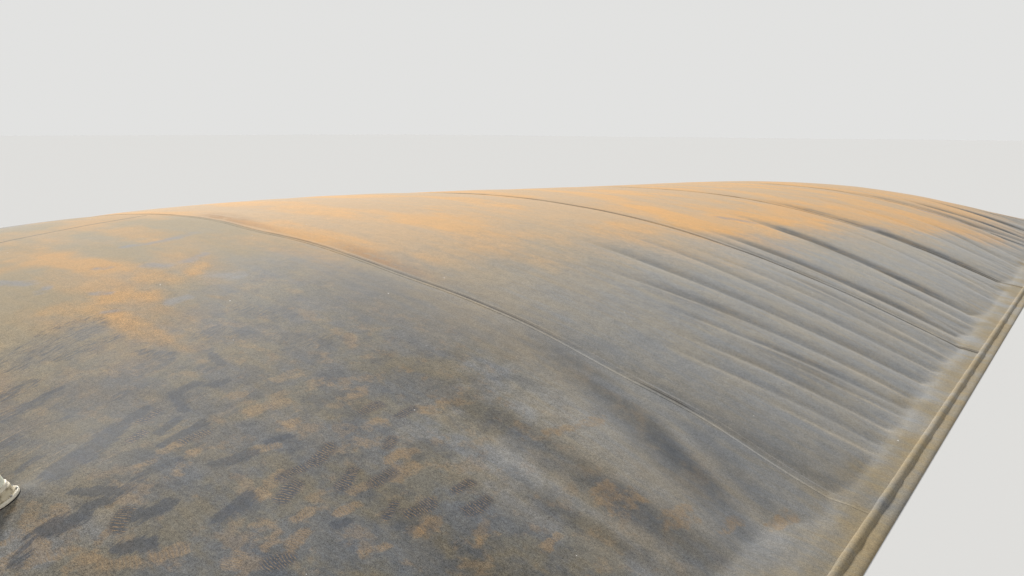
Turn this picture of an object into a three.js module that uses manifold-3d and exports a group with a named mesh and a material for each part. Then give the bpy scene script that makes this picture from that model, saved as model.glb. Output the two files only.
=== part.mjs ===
// A covered-lagoon biogas digester, from ground level up: a low inflated cover of black
// polyethylene geomembrane, made of wide sheets that run across the lagoon and are welded
// side by side. The cover's flat margin is welded to the lagoon's liner all round, and a
// flanged plastic gas outlet stands on the cover near one end.
//
// Millimetres, +Z up. X runs across the lagoon and Y along it. The origin is on the ground
// under the middle of the cover.
import * as THREE from "three";
import { mergeVertices } from "three/addons/utils/BufferGeometryUtils.js";
import Module from "manifold-3d";

const manifold = await Module();
manifold.setup();

// The inflated dome, edge to edge
const DOME_WIDTH = 18000;
const DOME_LENGTH = 33200;
const CREST = 1570; // height above the margin at the middle of the cover
const CREST_FALL = 0.367; // share of it that is lost towards the far end, and gained to the near
const CREST_LIFT = 0.105; // share that is gained towards either end besides
const LEAN = 0.207; // the gas pushes the +X flank up by this share, and the other one down
const LEAN_GROWTH = 0.4; // what that share gains towards the far end, and loses to the near
const FLANK_POWER = 2.05; // close to 2, which is a parabola
const NEAR_END_POWER = 3;
const FAR_END_POWER = 8;

// The sheets: five whole ones, and a cut one at each end
const SHEET_PITCH = 5800;
const WHOLE_SHEETS = 5;
const SHEET_THICKNESS = 40;
const MARGIN = 250; // flat strip of cover outside the dome
const FLANK_STEPS = 20;
const SHEET_STEPS = 4;

// Overlap welds between the sheets
const FLAP_WIDTH = 120;
const FLAP_THICKNESS = 10;

// The lagoon's liner, which shows round the cover, and the bead that welds the two
const LINER_THICKNESS = 20;
const LINER_UNDER_DOME = 100;
const LINER_BEYOND = 150;
const BEAD_WIDTH = 45;
const BEAD_HEIGHT = 36;

// Parts that meet keep this much air
const GAP = 0.3;
// Points closer than this are one point
const SAME_POINT = 1e-3;

// The gas outlet. Its foot and its lean, as a direction, are in the part's frame.
const OUTLET_FOOT = new THREE.Vector2(5328, -13306);
const OUTLET_LEAN = new THREE.Vector3(-0.135, -0.404, 0.905).normalize();
const OUTLET_RISE = 55; // from the cover to the gasket's underside, along the lean
const OUTLET_REACH = 400; // the cutting shapes run this far both ways along the lean
const BORE_RADIUS = 73;
const PIPE_RADIUS = 80;
const PIPE_LENGTH = 360;
const FLANGE_RADIUS = 114;
const FLANGE_THICKNESS = 20;
const GASKET_THICKNESS = 5;
const BACKING_THICKNESS = 25;
const BOOT_TOP_RADIUS = 126;
const BOOT_SPREAD = 1.6; // how far the boot's side runs out for each millimetre down
const HUB_FOOT_RADIUS = 96;
const HUB_TOP_RADIUS = 92;
const HUB_HEIGHT = 52;
const COLLAR_RADIUS = 88;
const COLLAR_HEIGHT = 24;
const COUPLING_RADIUS = 91;
const COUPLING_HEIGHT = 130; // half of it is over the pipe's end
const BOLT_COUNT = 8;
const BOLT_CIRCLE_RADIUS = 105;
const BOLT_HEAD_RADIUS = 7;
const BOLT_HEAD_HEIGHT = 9;
const ROUND_SIDES = 24;

const MEMBRANE = { color: 0x6b665e, roughness: 0.6, metalness: 0 };
const WELD = { color: 0x4a4743, roughness: 0.5, metalness: 0 };
const LINER = { color: 0x2b2a29, roughness: 0.6, metalness: 0 };
const WHITE_PIPE = { color: 0xe9ece0, roughness: 0.35, metalness: 0 };
const CREAM_PLASTIC = { color: 0xd5c8aa, roughness: 0.45, metalness: 0 };
const OLD_PLASTIC = { color: 0x8d8464, roughness: 0.55, metalness: 0 };
const RUBBER = { color: 0x1d1d1d, roughness: 0.8, metalness: 0 };

const digester = new THREE.Group();

function addPiece(name, geometry, look) {
  const mesh = new THREE.Mesh(geometry, new THREE.MeshStandardMaterial(look));
  mesh.name = name;
  digester.add(mesh);
  return mesh;
}

// Solids for cutting, and back

function toSolid(geometry) {
  const bare = geometry.index ? geometry.toNonIndexed() : geometry.clone();
  bare.deleteAttribute("normal");
  bare.deleteAttribute("uv");
  const merged = mergeVertices(bare, SAME_POINT);
  return new manifold.Manifold(
    new manifold.Mesh({
      numProp: 3,
      vertProperties: merged.attributes.position.array,
      triVerts: new Uint32Array(merged.index.array),
    }),
  );
}

function toGeometry(solid) {
  const made = solid.getMesh();
  const geometry = new THREE.BufferGeometry();
  geometry.setAttribute("position", new THREE.BufferAttribute(made.vertProperties, 3));
  geometry.setIndex(new THREE.BufferAttribute(made.triVerts, 1));
  geometry.computeVertexNormals();
  return geometry;
}

// The cover's shape

// Height of the inflated cover over its margin
function domeHeight(x, y) {
  const across = THREE.MathUtils.clamp((2 * x) / DOME_WIDTH, -1, 1);
  const along = THREE.MathUtils.clamp((2 * y) / DOME_LENGTH, -1, 1);
  const endPower = along < 0 ? NEAR_END_POWER : FAR_END_POWER;
  const crest = CREST * (1 - CREST_FALL * along + CREST_LIFT * along * along);
  const lean = LEAN + LEAN_GROWTH * along;
  const flank = (1 + lean * across) * (1 - Math.abs(across) ** FLANK_POWER);
  return crest * flank * (1 - Math.abs(along) ** endPower);
}

const coverUnderside = (x, y) => LINER_THICKNESS + GAP + domeHeight(x, y);
const coverTop = (x, y) => coverUnderside(x, y) + SHEET_THICKNESS;

// A closed solid between two height functions, over a grid of stations
function gridSolid(xs, ys, underside, top) {
  const columns = xs.length;
  const rows = ys.length;
  const points = [];
  for (const height of [underside, top])
    for (const y of ys) for (const x of xs) points.push(x, y, height(x, y));
  const low = (i, j) => j * columns + i;
  const high = (i, j) => low(i, j) + columns * rows;
  const faces = [];
  const quad = (a, b, c, d) => faces.push(a, b, c, a, c, d);
  for (let j = 0; j + 1 < rows; j++)
    for (let i = 0; i + 1 < columns; i++) {
      quad(high(i, j), high(i + 1, j), high(i + 1, j + 1), high(i, j + 1));
      faces.push(low(i, j), low(i + 1, j + 1), low(i + 1, j));
      faces.push(low(i, j), low(i, j + 1), low(i + 1, j + 1));
    }
  for (let i = 0; i + 1 < columns; i++) {
    quad(low(i, 0), low(i + 1, 0), high(i + 1, 0), high(i, 0));
    quad(low(i + 1, rows - 1), low(i, rows - 1), high(i, rows - 1), high(i + 1, rows - 1));
  }
  for (let j = 0; j + 1 < rows; j++) {
    quad(low(0, j + 1), low(0, j), high(0, j), high(0, j + 1));
    quad(low(columns - 1, j), low(columns - 1, j + 1), high(columns - 1, j + 1), high(columns - 1, j));
  }
  const geometry = new THREE.BufferGeometry();
  geometry.setAttribute("position", new THREE.Float32BufferAttribute(points, 3));
  geometry.setIndex(faces);
  geometry.computeVertexNormals();
  return geometry;
}

// Even steps from one value to another, both included
function steps(from, to, count) {
  return Array.from({ length: count + 1 }, (_, i) => from + ((to - from) * i) / count);
}

const halfWidth = DOME_WIDTH / 2;
const halfLength = DOME_LENGTH / 2;
const coverHalfWidth = halfWidth + MARGIN;
const coverHalfLength = halfLength + MARGIN;
const flankStations = [
  -coverHalfWidth,
  ...steps(-halfWidth, halfWidth, FLANK_STEPS),
  coverHalfWidth,
];

// Where the sheets meet
const firstSeam = (-WHOLE_SHEETS * SHEET_PITCH) / 2;
const seams = steps(firstSeam, -firstSeam, WHOLE_SHEETS);

// Stations along one sheet. They include the edges of the flaps that lie on it.
function sheetStations(index) {
  const halfFlap = FLAP_WIDTH / 2;
  const first = index === 0;
  const last = index === seams.length;
  const start = first ? -halfLength : seams[index - 1] + halfFlap;
  const end = last ? halfLength : seams[index] - halfFlap;
  const stations = steps(start, end, SHEET_STEPS);
  if (first) stations.unshift(-coverHalfLength);
  else stations.unshift(seams[index - 1] + GAP / 2);
  if (last) stations.push(coverHalfLength);
  else stations.push(seams[index] - GAP / 2);
  return stations;
}

// The gas outlet's frame: its origin is at the gasket's underside, and +Z is the lean

const outletFoot = new THREE.Vector3(
  OUTLET_FOOT.x,
  OUTLET_FOOT.y,
  coverTop(OUTLET_FOOT.x, OUTLET_FOOT.y),
);
const outletBase = outletFoot.clone().addScaledVector(OUTLET_LEAN, OUTLET_RISE);
const upright = new THREE.Vector3(0, 0, 1);
const outletTurn = new THREE.Quaternion().setFromUnitVectors(upright, OUTLET_LEAN);

function placeOnOutlet(geometry, height) {
  const place = outletBase.clone().addScaledVector(OUTLET_LEAN, height);
  return geometry.applyMatrix4(
    new THREE.Matrix4().compose(place, outletTurn, new THREE.Vector3(1, 1, 1)),
  );
}

// A turned part from its outline, radius and height in pairs, round the local Z axis
function turned(outline) {
  const points = outline.map(([radius, height]) => new THREE.Vector2(radius, height));
  points.push(points[0].clone());
  const geometry = new THREE.LatheGeometry(points, ROUND_SIDES);
  return geometry.rotateX(Math.PI / 2);
}

// A ring of rectangular section
function ring(inner, outer, height) {
  return turned([
    [inner, 0],
    [outer, 0],
    [outer, height],
    [inner, height],
  ]);
}

// A round bar along the lean, long enough to pass through the cover and the boot
function outletBar(radius) {
  const bar = new THREE.CylinderGeometry(radius, radius, 2 * OUTLET_REACH, ROUND_SIDES);
  return toSolid(placeOnOutlet(bar.rotateX(Math.PI / 2), 0));
}

// The cover's sheets, each in two halves that meet at mid-width, with the gas outlet's hole in
// the half that carries it
const outletSheet = seams.findIndex((seam) => seam > OUTLET_FOOT.y);
const halves = [
  ["left", flankStations.filter((x) => x < 0).concat(-GAP / 2)],
  ["right", [GAP / 2].concat(flankStations.filter((x) => x > 0))],
];
for (let index = 0; index <= seams.length; index++) {
  for (const [side, stations] of halves) {
    let sheet = gridSolid(stations, sheetStations(index), coverUnderside, coverTop);
    const carriesOutlet = index === outletSheet && stations.at(-1) > OUTLET_FOOT.x;
    if (carriesOutlet) sheet = toGeometry(toSolid(sheet).subtract(outletBar(BORE_RADIUS)));
    addPiece(`cover_sheet_${index + 1}_${side}`, sheet, MEMBRANE);
  }
}
const outletStations = sheetStations(outletSheet);

// The overlap weld on each seam, from margin to margin
seams.forEach((seam, index) => {
  const stations = [seam - FLAP_WIDTH / 2, seam, seam + FLAP_WIDTH / 2];
  const underside = (x, y) => coverTop(x, y) + GAP;
  const top = (x, y) => underside(x, y) + FLAP_THICKNESS;
  addPiece(`weld_flap_${index + 1}`, gridSolid(flankStations, stations, underside, top), WELD);
});

// The liner round the cover: long strips at the sides, and short ones between them
const linerOuterX = coverHalfWidth + LINER_BEYOND;
const linerOuterY = coverHalfLength + LINER_BEYOND;
const linerInnerX = halfWidth - LINER_UNDER_DOME;
const linerInnerY = halfLength - LINER_UNDER_DOME;

function slab(x0, x1, y0, y1, thickness) {
  const box = new THREE.BoxGeometry(x1 - x0, y1 - y0, thickness);
  return box.translate((x0 + x1) / 2, (y0 + y1) / 2, thickness / 2);
}

for (const [name, side] of [
  ["left", -1],
  ["right", 1],
]) {
  const [x0, x1] = [side * linerInnerX, side * linerOuterX].sort((a, b) => a - b);
  const strip = slab(x0, x1, -linerOuterY, linerOuterY, LINER_THICKNESS);
  addPiece(`liner_${name}`, strip, LINER);
}
for (const [name, side] of [
  ["near", -1],
  ["far", 1],
]) {
  const [y0, y1] = [side * linerInnerY, side * linerOuterY].sort((a, b) => a - b);
  const strip = slab(-linerInnerX + GAP, linerInnerX - GAP, y0, y1, LINER_THICKNESS);
  addPiece(`liner_${name}`, strip, LINER);
}

// The bead along the cover's edge: a sloping fillet that lies on the liner
function beadGeometry(length) {
  const outline = new THREE.Shape();
  outline.moveTo(0, 0);
  outline.lineTo(BEAD_WIDTH, 0);
  outline.lineTo(BEAD_WIDTH, BEAD_HEIGHT / 4);
  outline.lineTo(BEAD_WIDTH / 3, BEAD_HEIGHT);
  outline.lineTo(0, BEAD_HEIGHT);
  const bead = new THREE.ExtrudeGeometry(outline, { depth: length, bevelEnabled: false });
  // Its outline's X points away from the cover, and it runs along the local Y
  return bead.translate(0, 0, -length / 2).rotateX(Math.PI / 2);
}

const beadLevel = LINER_THICKNESS + GAP;
const sideBeadLength = 2 * (coverHalfLength + GAP + BEAD_WIDTH);
const endBeadLength = 2 * coverHalfWidth;
for (const [name, length, offset, turn] of [
  ["right", sideBeadLength, coverHalfWidth + GAP, 0],
  ["far", endBeadLength, coverHalfLength + GAP, Math.PI / 2],
  ["left", sideBeadLength, coverHalfWidth + GAP, Math.PI],
  ["near", endBeadLength, coverHalfLength + GAP, -Math.PI / 2],
]) {
  const bead = addPiece(`edge_bead_${name}`, beadGeometry(length), WELD);
  bead.rotation.z = turn;
  bead.position.set(Math.cos(turn) * offset, Math.sin(turn) * offset, beadLevel);
}

// The gas outlet

// A welded boot of sheet that carries the flange: a cone down to the cover, cut to fit it
function bootGeometry() {
  const cone = placeOnOutlet(
    turned([
      [BORE_RADIUS, -OUTLET_REACH],
      [BOOT_TOP_RADIUS + BOOT_SPREAD * OUTLET_REACH, -OUTLET_REACH],
      [BOOT_TOP_RADIUS, -GAP],
      [BORE_RADIUS, -GAP],
    ]),
    0,
  );
  const buried = () => -OUTLET_REACH;
  const surface = (x, y) => coverTop(x, y) + GAP;
  const below = gridSolid(flankStations, outletStations, buried, surface);
  return toGeometry(toSolid(cone).subtract(toSolid(below)));
}
addPiece("outlet_boot", bootGeometry(), WELD);

// The ring under the cover that the flange is bolted to. Its top and bottom follow the cover.
function backingGeometry() {
  const top = (x, y) => coverUnderside(x, y) - GAP;
  const underside = (x, y) => top(x, y) - BACKING_THICKNESS;
  const layer = toSolid(gridSolid(flankStations, outletStations, underside, top));
  return toGeometry(layer.intersect(outletBar(FLANGE_RADIUS)).subtract(outletBar(BORE_RADIUS)));
}
addPiece("outlet_backing_ring", backingGeometry(), OLD_PLASTIC);

let level = 0;
// Adds one more turned part on top of the ones that are there
function stack(name, geometry, height, look) {
  addPiece(name, placeOnOutlet(geometry, level), look);
  level += height + GAP;
}

stack("outlet_gasket", ring(BORE_RADIUS, FLANGE_RADIUS, GASKET_THICKNESS), GASKET_THICKNESS, RUBBER);

// The flange and its bolts are one solid
function flangeGeometry() {
  let flange = toSolid(ring(BORE_RADIUS, FLANGE_RADIUS, FLANGE_THICKNESS));
  for (let i = 0; i < BOLT_COUNT; i++) {
    const angle = ((i + 0.5) / BOLT_COUNT) * 2 * Math.PI;
    const head = new THREE.CylinderGeometry(BOLT_HEAD_RADIUS, BOLT_HEAD_RADIUS, 2 * BOLT_HEAD_HEIGHT, 6)
      .rotateX(Math.PI / 2)
      .translate(
        Math.cos(angle) * BOLT_CIRCLE_RADIUS,
        Math.sin(angle) * BOLT_CIRCLE_RADIUS,
        FLANGE_THICKNESS,
      );
    flange = flange.add(toSolid(head));
  }
  return toGeometry(flange);
}
stack("outlet_flange", flangeGeometry(), FLANGE_THICKNESS, CREAM_PLASTIC);

stack(
  "outlet_hub",
  turned([
    [BORE_RADIUS, 0],
    [HUB_FOOT_RADIUS, 0],
    [HUB_TOP_RADIUS, HUB_HEIGHT],
    [BORE_RADIUS, HUB_HEIGHT],
  ]),
  HUB_HEIGHT,
  OLD_PLASTIC,
);
stack("outlet_collar", ring(BORE_RADIUS, COLLAR_RADIUS, COLLAR_HEIGHT), COLLAR_HEIGHT, CREAM_PLASTIC);
stack("outlet_pipe", ring(BORE_RADIUS, PIPE_RADIUS, PIPE_LENGTH), PIPE_LENGTH, WHITE_PIPE);

// A sleeve over the pipe's end, which the gas line plugs into
level -= COUPLING_HEIGHT / 2;
const sleeve = ring(PIPE_RADIUS + GAP, COUPLING_RADIUS, COUPLING_HEIGHT);
stack("outlet_coupling", sleeve, COUPLING_HEIGHT, WHITE_PIPE);

export default digester;
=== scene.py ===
"""The look of a covered-lagoon biogas digester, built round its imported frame.

An inflated cover of black polyethylene sheets, welded side by side across the lagoon, lies under
orange-tan dust. Gas pressure lifts it into lobes between creases that run in from its edge. A
flanged plastic gas outlet stands near one end. Metres, in the part's frame: X runs across the
lagoon, Y along it and Z up.
"""
import math

import bpy
import numpy as np
from mathutils import Matrix, Vector


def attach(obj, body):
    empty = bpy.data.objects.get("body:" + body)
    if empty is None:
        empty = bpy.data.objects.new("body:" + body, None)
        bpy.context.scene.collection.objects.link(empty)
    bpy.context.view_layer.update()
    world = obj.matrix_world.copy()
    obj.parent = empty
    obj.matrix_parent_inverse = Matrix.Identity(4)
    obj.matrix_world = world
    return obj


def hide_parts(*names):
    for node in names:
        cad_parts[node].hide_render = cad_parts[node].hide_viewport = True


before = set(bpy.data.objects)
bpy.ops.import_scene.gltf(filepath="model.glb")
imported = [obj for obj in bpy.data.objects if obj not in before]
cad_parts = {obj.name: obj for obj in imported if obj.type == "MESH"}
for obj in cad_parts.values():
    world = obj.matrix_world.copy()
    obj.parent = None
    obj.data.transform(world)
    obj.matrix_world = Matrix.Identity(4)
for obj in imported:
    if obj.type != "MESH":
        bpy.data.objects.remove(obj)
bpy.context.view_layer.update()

# The cover's shape, as in the part's source
DOME_WIDTH = 18.0
DOME_LENGTH = 33.2
CREST = 1.57  # height over the margin, at mid-length
CREST_FALL = 0.367  # towards the far end
CREST_LIFT = 0.105  # towards both ends
LEAN = 0.207  # how much fuller the right flank is than the left
LEAN_GROWTH = 0.4  # towards the far end
FLANK_POWER = 2.05  # a higher power gives a steeper rise from the edge
NEAR_END_POWER = 3
FAR_END_POWER = 8
MARGIN = 0.25
SHEET_PITCH = 5.8
WHOLE_SHEETS = 5
COVER_TOP = 0.0603  # height of the margin's upper face
LINER_TOP = 0.02
LINER_INNER = 0.1  # the liner's strips start this far inside the dome's edge
LINER_BEYOND = 0.15

HALF_WIDTH = DOME_WIDTH / 2
HALF_LENGTH = DOME_LENGTH / 2
COVER_X = HALF_WIDTH + MARGIN
COVER_Y = HALF_LENGTH + MARGIN
FIRST_SEAM = -WHOLE_SHEETS * SHEET_PITCH / 2
SEAMS = [FIRST_SEAM + i * SHEET_PITCH for i in range(WHOLE_SHEETS + 1)]

# The gas outlet, as in the part's source
OUTLET_FOOT = Vector((5.328, -13.306))
OUTLET_LEAN = Vector((-0.135, -0.404, 0.905)).normalized()
OUTLET_RISE = 0.055
BORE_RADIUS = 0.073
PIPE_RADIUS = 0.080
FLANGE_RADIUS = 0.114

# The camera stands on the bank, beside the cover's near right corner
CAMERA_PLACE = Vector((10.476, -15.09, 2.96))
CAMERA_YAW = math.radians(36.883)  # to the left of +Y
CAMERA_PITCH = math.radians(11.157)  # below the horizon
CAMERA_ROLL = math.radians(0.254)
FOCAL_PIXELS = 805
FRAME_PIXELS = 1024
SENSOR = 36.0


def smooth(low, high, value):
    """0 below low, 1 above high, and a smooth step between them. low may be above high."""
    t = np.clip((value - low) / (high - low), 0, 1)
    return t * t * (3 - 2 * t)


def interpolated(place, table):
    """A table's value at a place. The table has rows (place, value)."""
    places, values = np.array(table).T
    return np.interp(place, places, values)


LATTICE = 256  # cells after which the noise repeats


def value_noise(x, y, seed):
    """Noise from 0 to 1 with one random value at each whole number."""
    lattice = np.random.default_rng(seed).random((LATTICE, LATTICE))
    column, row = np.floor(x).astype(int), np.floor(y).astype(int)
    u, v = smooth(0, 1, x - column), smooth(0, 1, y - row)

    def at(i, j):
        return lattice[(row + j) % LATTICE, (column + i) % LATTICE]

    near = at(0, 0) * (1 - u) + at(1, 0) * u
    far = at(0, 1) * (1 - u) + at(1, 1) * u
    return near * (1 - v) + far * v


def fractal(x, y, size, octaves, seed):
    """Noise round 0, from about -1 to 1, whose largest patches measure size. size may be a pair."""
    size_x, size_y = size if isinstance(size, tuple) else (size, size)
    total = 0
    weight = 0
    for octave in range(octaves):
        gain = 0.5**octave
        scale = 2.0**octave
        total = total + gain * value_noise(x / size_x * scale, y / size_y * scale, seed + octave)
        weight += gain
    return 2 * total / weight - 1


def line_noise(place, lane, size, octaves, seed):
    """The same along a line. Each lane has its own noise."""
    return fractal(place, np.full_like(place, lane), size, octaves, seed)


def dome_height(x, y):
    """Height of the inflated cover over its margin."""
    across = np.clip(2 * x / DOME_WIDTH, -1, 1)
    along = np.clip(2 * y / DOME_LENGTH, -1, 1)
    end_power = np.where(along < 0, NEAR_END_POWER, FAR_END_POWER)
    crest = CREST * (1 - CREST_FALL * along + CREST_LIFT * along * along)
    lean = LEAN + LEAN_GROWTH * along
    flank = (1 + lean * across) * (1 - np.abs(across) ** FLANK_POWER)
    return crest * flank * (1 - np.abs(along) ** end_power)


# Creases. Each has a depth, a width, and points on its path from the cover's edge inward.

# On the +X flank, near end first
FLANK_CREASES = [
    (0.065, 0.25, [(8.6, -10.82), (7.6, -11.0), (6.7, -11.15)]),
    (0.075, 0.34, [(8.9, -10.46), (7.5, -10.52), (6.5, -10.5), (5.3, -10.52)]),
    (0.092, 0.40, [(8.8, -10.05), (8.3, -9.85), (7.7, -9.55), (7.0, -9.3), (6.3, -9.08), (5.6, -8.9)]),
    (0.072, 0.28, [(8.95, -9.68), (8.3, -9.35), (7.8, -9.1), (7.2, -8.92)]),
    (0.045, 0.20, [(8.9, -8.76), (8.4, -8.67), (7.7, -8.64)]),
    (0.030, 0.18, [(7.5, -8.66), (6.8, -8.64), (6.0, -8.62)]),
    (0.030, 0.16, [(8.9, -7.60), (8.2, -7.72), (7.4, -7.86)]),
    (0.035, 0.17, [(8.9, -7.36), (8.0, -7.5), (7.3, -7.65), (6.4, -7.8)]),
    (0.052, 0.22, [(8.9, -6.91), (8.3, -7.0), (7.5, -7.15), (6.4, -7.42)]),
    (0.030, 0.14, [(8.9, -6.40), (8.0, -6.6), (7.1, -6.82)]),
    (0.042, 0.20, [(8.9, -6.15), (8.0, -6.37), (7.0, -6.62), (5.9, -6.78)]),
    (0.052, 0.28, [(9.0, -5.76), (8.0, -5.9), (7.0, -6.06), (6.0, -6.24), (4.8, -6.44)]),
    (0.058, 0.30, [(9.0, -5.10), (8.0, -5.27), (7.0, -5.42), (6.0, -5.46), (4.1, -5.42)]),
    (0.052, 0.26, [(9.0, -4.48), (8.3, -4.55), (7.0, -4.57), (5.5, -4.48), (4.2, -4.4)]),
    (0.042, 0.24, [(9.0, -3.94), (8.0, -3.95), (7.0, -3.96), (4.9, -3.92)]),
    (0.037, 0.22, [(8.9, -3.64), (8.0, -3.54), (7.0, -3.46), (5.9, -3.4)]),
    (0.045, 0.13, [(8.9, -2.87), (8.0, -2.93), (6.5, -2.9), (5.0, -2.82), (3.6, -2.76)]),
    (0.072, 0.28, [(8.8, -2.56), (7.5, -2.57), (6.2, -2.52), (4.6, -2.42)]),
    (0.030, 0.14, [(8.8, -2.17), (8.0, -1.97), (7.3, -1.8)]),
    (0.045, 0.20, [(8.9, -1.50), (8.0, -1.42), (6.8, -1.35)]),
    (0.090, 0.36, [(8.8, -1.0), (8.0, -0.93), (7.3, -0.82), (6.5, -0.68), (5.5, -0.48), (4.2, -0.22)]),
    (0.022, 0.14, [(8.9, -0.24), (8.2, 0.0), (7.4, 0.24)]),
    (0.037, 0.18, [(8.9, 0.82), (8.0, 1.15), (7.2, 1.42), (5.2, 1.66)]),
    (0.037, 0.16, [(8.9, 1.34), (8.0, 1.7), (6.8, 2.02)]),
    (0.032, 0.15, [(8.7, 1.86), (8.0, 2.06), (6.9, 2.38)]),
    (0.095, 0.32, [(8.9, 2.55), (8.0, 2.52), (7.2, 2.62), (6.5, 2.72), (5.2, 2.78), (3.6, 2.82)]),
    (0.052, 0.30, [(8.8, 4.2), (8.0, 4.45), (7.0, 4.8), (6.0, 5.02), (5.0, 5.25), (3.4, 5.45)]),
    (0.065, 0.34, [(8.8, 5.05), (8.0, 5.5), (7.3, 5.95), (6.2, 6.4)]),
    (0.055, 0.30, [(8.8, 6.2), (8.0, 6.6), (6.8, 7.0)]),
    (0.075, 0.34, [(8.9, 8.1), (8.0, 8.35), (6.6, 8.6), (4.0, 8.66)]),
    (0.060, 0.32, [(8.9, 7.3), (8.0, 7.6), (6.9, 7.85)]),
]
# Share of the read depths that is left, for shallow and for deep creases. The rest is painted as a dark
# band: dust washed off by rain, and painted shade.
SHALLOW_SHARE = 0.36
DEEP_SHARE = 0.62
SHARE_DEPTHS = (0.045, 0.075)  # read depths of a shallow and of a deep crease
CREASE_ROUND = 0.024  # radius of a crease's bottom
SLACK_ROUND = 0.22  # the same where the cover is slack, at the near end
SLACK_FROM_TO = (-7.6, -9.0)  # along the cover, from taut to slack
CREASE_FADE = 1.6  # a crease comes in over this length from its inner end
CREASE_NARROWING = 0.66  # share of the read widths that is left
CREASE_HALO = 2.2  # a crease reaches no further to its sides
PATH_BEFORE = 0.2  # how far a path goes on past its inner and its outer end
PATH_BEYOND = 0.4
DEEP_CREASE = 0.056  # a crease this deep has the darkest band of wash and painted shade all the way along
WASH_POWER = 1.5  # a higher power leaves less wash and painted shade beside shallow creases
WASH_REACH = 1.9  # the dark band of wash and painted shade beside a crease, in widths of the crease
BAND_FRINGE = 0.3  # share of its width where a dark band begins to fade
OTHER_BAND = 0.9  # how dark the band on the other side is, where there is one
FAINT_WASH = 0.5  # the least of it where a crease has a band on both sides
CAUGHT_WIDTH = 0.038  # of the pale line in a crease: dust, and a painted highlight
CAUGHT_OFFSET = 0.3  # of that line, in its own widths


def edge_creases(seed, first, last, reach, drift):
    """Creases along a stretch of edge that the photo doesn't show, as (how far in, where)."""
    rng = np.random.default_rng(seed)
    made = []
    shares = (0, 0.35, 0.7, 1)
    place = first
    while place < last:
        length = rng.uniform(*reach)
        turn = rng.normal(0, drift)
        bend = rng.normal(0, drift / 2)
        depth = rng.uniform(0.02, 0.045) + 0.035 * (rng.random() < 0.25)
        path = [(share * length, place + turn * share + bend * share**2) for share in shares]
        made.append((depth, rng.uniform(0.21, 0.315), path))
        place += rng.uniform(0.35, 0.85)
    return made


def on_edge(creases, side, half):
    """The same creases with the distance from the middle instead of how far in they reach."""
    return [(d, w, [(side * (half - inward), place) for inward, place in path]) for d, w, path in creases]


def below_in_sight(x, y, depth):
    """The place under the dome, by depth, on the camera's line of sight to a place on the dome."""
    camera = np.array(CAMERA_PLACE)
    sight = np.array([x, y, COVER_TOP + dome_height(x, y)]) - camera

    def over(reach):
        at = camera + reach * sight
        return at[2] - (COVER_TOP + dome_height(at[0], at[1]) - depth)

    reach, step = 1.0, 1e-4
    for _ in range(8):
        reach -= over(reach) * step / (over(reach + step) - over(reach))
    return tuple((camera + reach * sight)[:2])


def settled(creases):
    """Creases that were read on the smooth dome, moved to where they lie at their own depth."""
    moved = []
    for read_depth, width, path in creases:
        deep = float(smooth(*SHARE_DEPTHS, read_depth))
        depth = read_depth * (SHALLOW_SHARE + (DEEP_SHARE - SHALLOW_SHARE) * deep)
        inner = min(x for x, _ in path)
        depths = [depth * float(smooth(0, CREASE_FADE, x - inner)) for x, _ in path]
        moved.append((depth, width, [below_in_sight(x, y, d) for (x, y), d in zip(path, depths)]))
    return moved


CREASES_ACROSS = [
    *settled(FLANK_CREASES),
    *on_edge(edge_creases(21, -15.2, -11.3, (1.6, 3.2), 0.25), 1, HALF_WIDTH),
    *on_edge(edge_creases(22, 9.2, 15.6, (1.6, 4.2), 0.4), 1, HALF_WIDTH),
    *on_edge(edge_creases(23, -15.4, 15.6, (1.6, 4.6), 0.35), -1, HALF_WIDTH),
]
CREASES_ALONG = [
    *on_edge(edge_creases(24, -8.0, 8.0, (1.0, 2.6), 0.3), -1, HALF_LENGTH),
    *on_edge(edge_creases(25, -8.0, 8.0, (1.0, 2.6), 0.3), 1, HALF_LENGTH),
]


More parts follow.
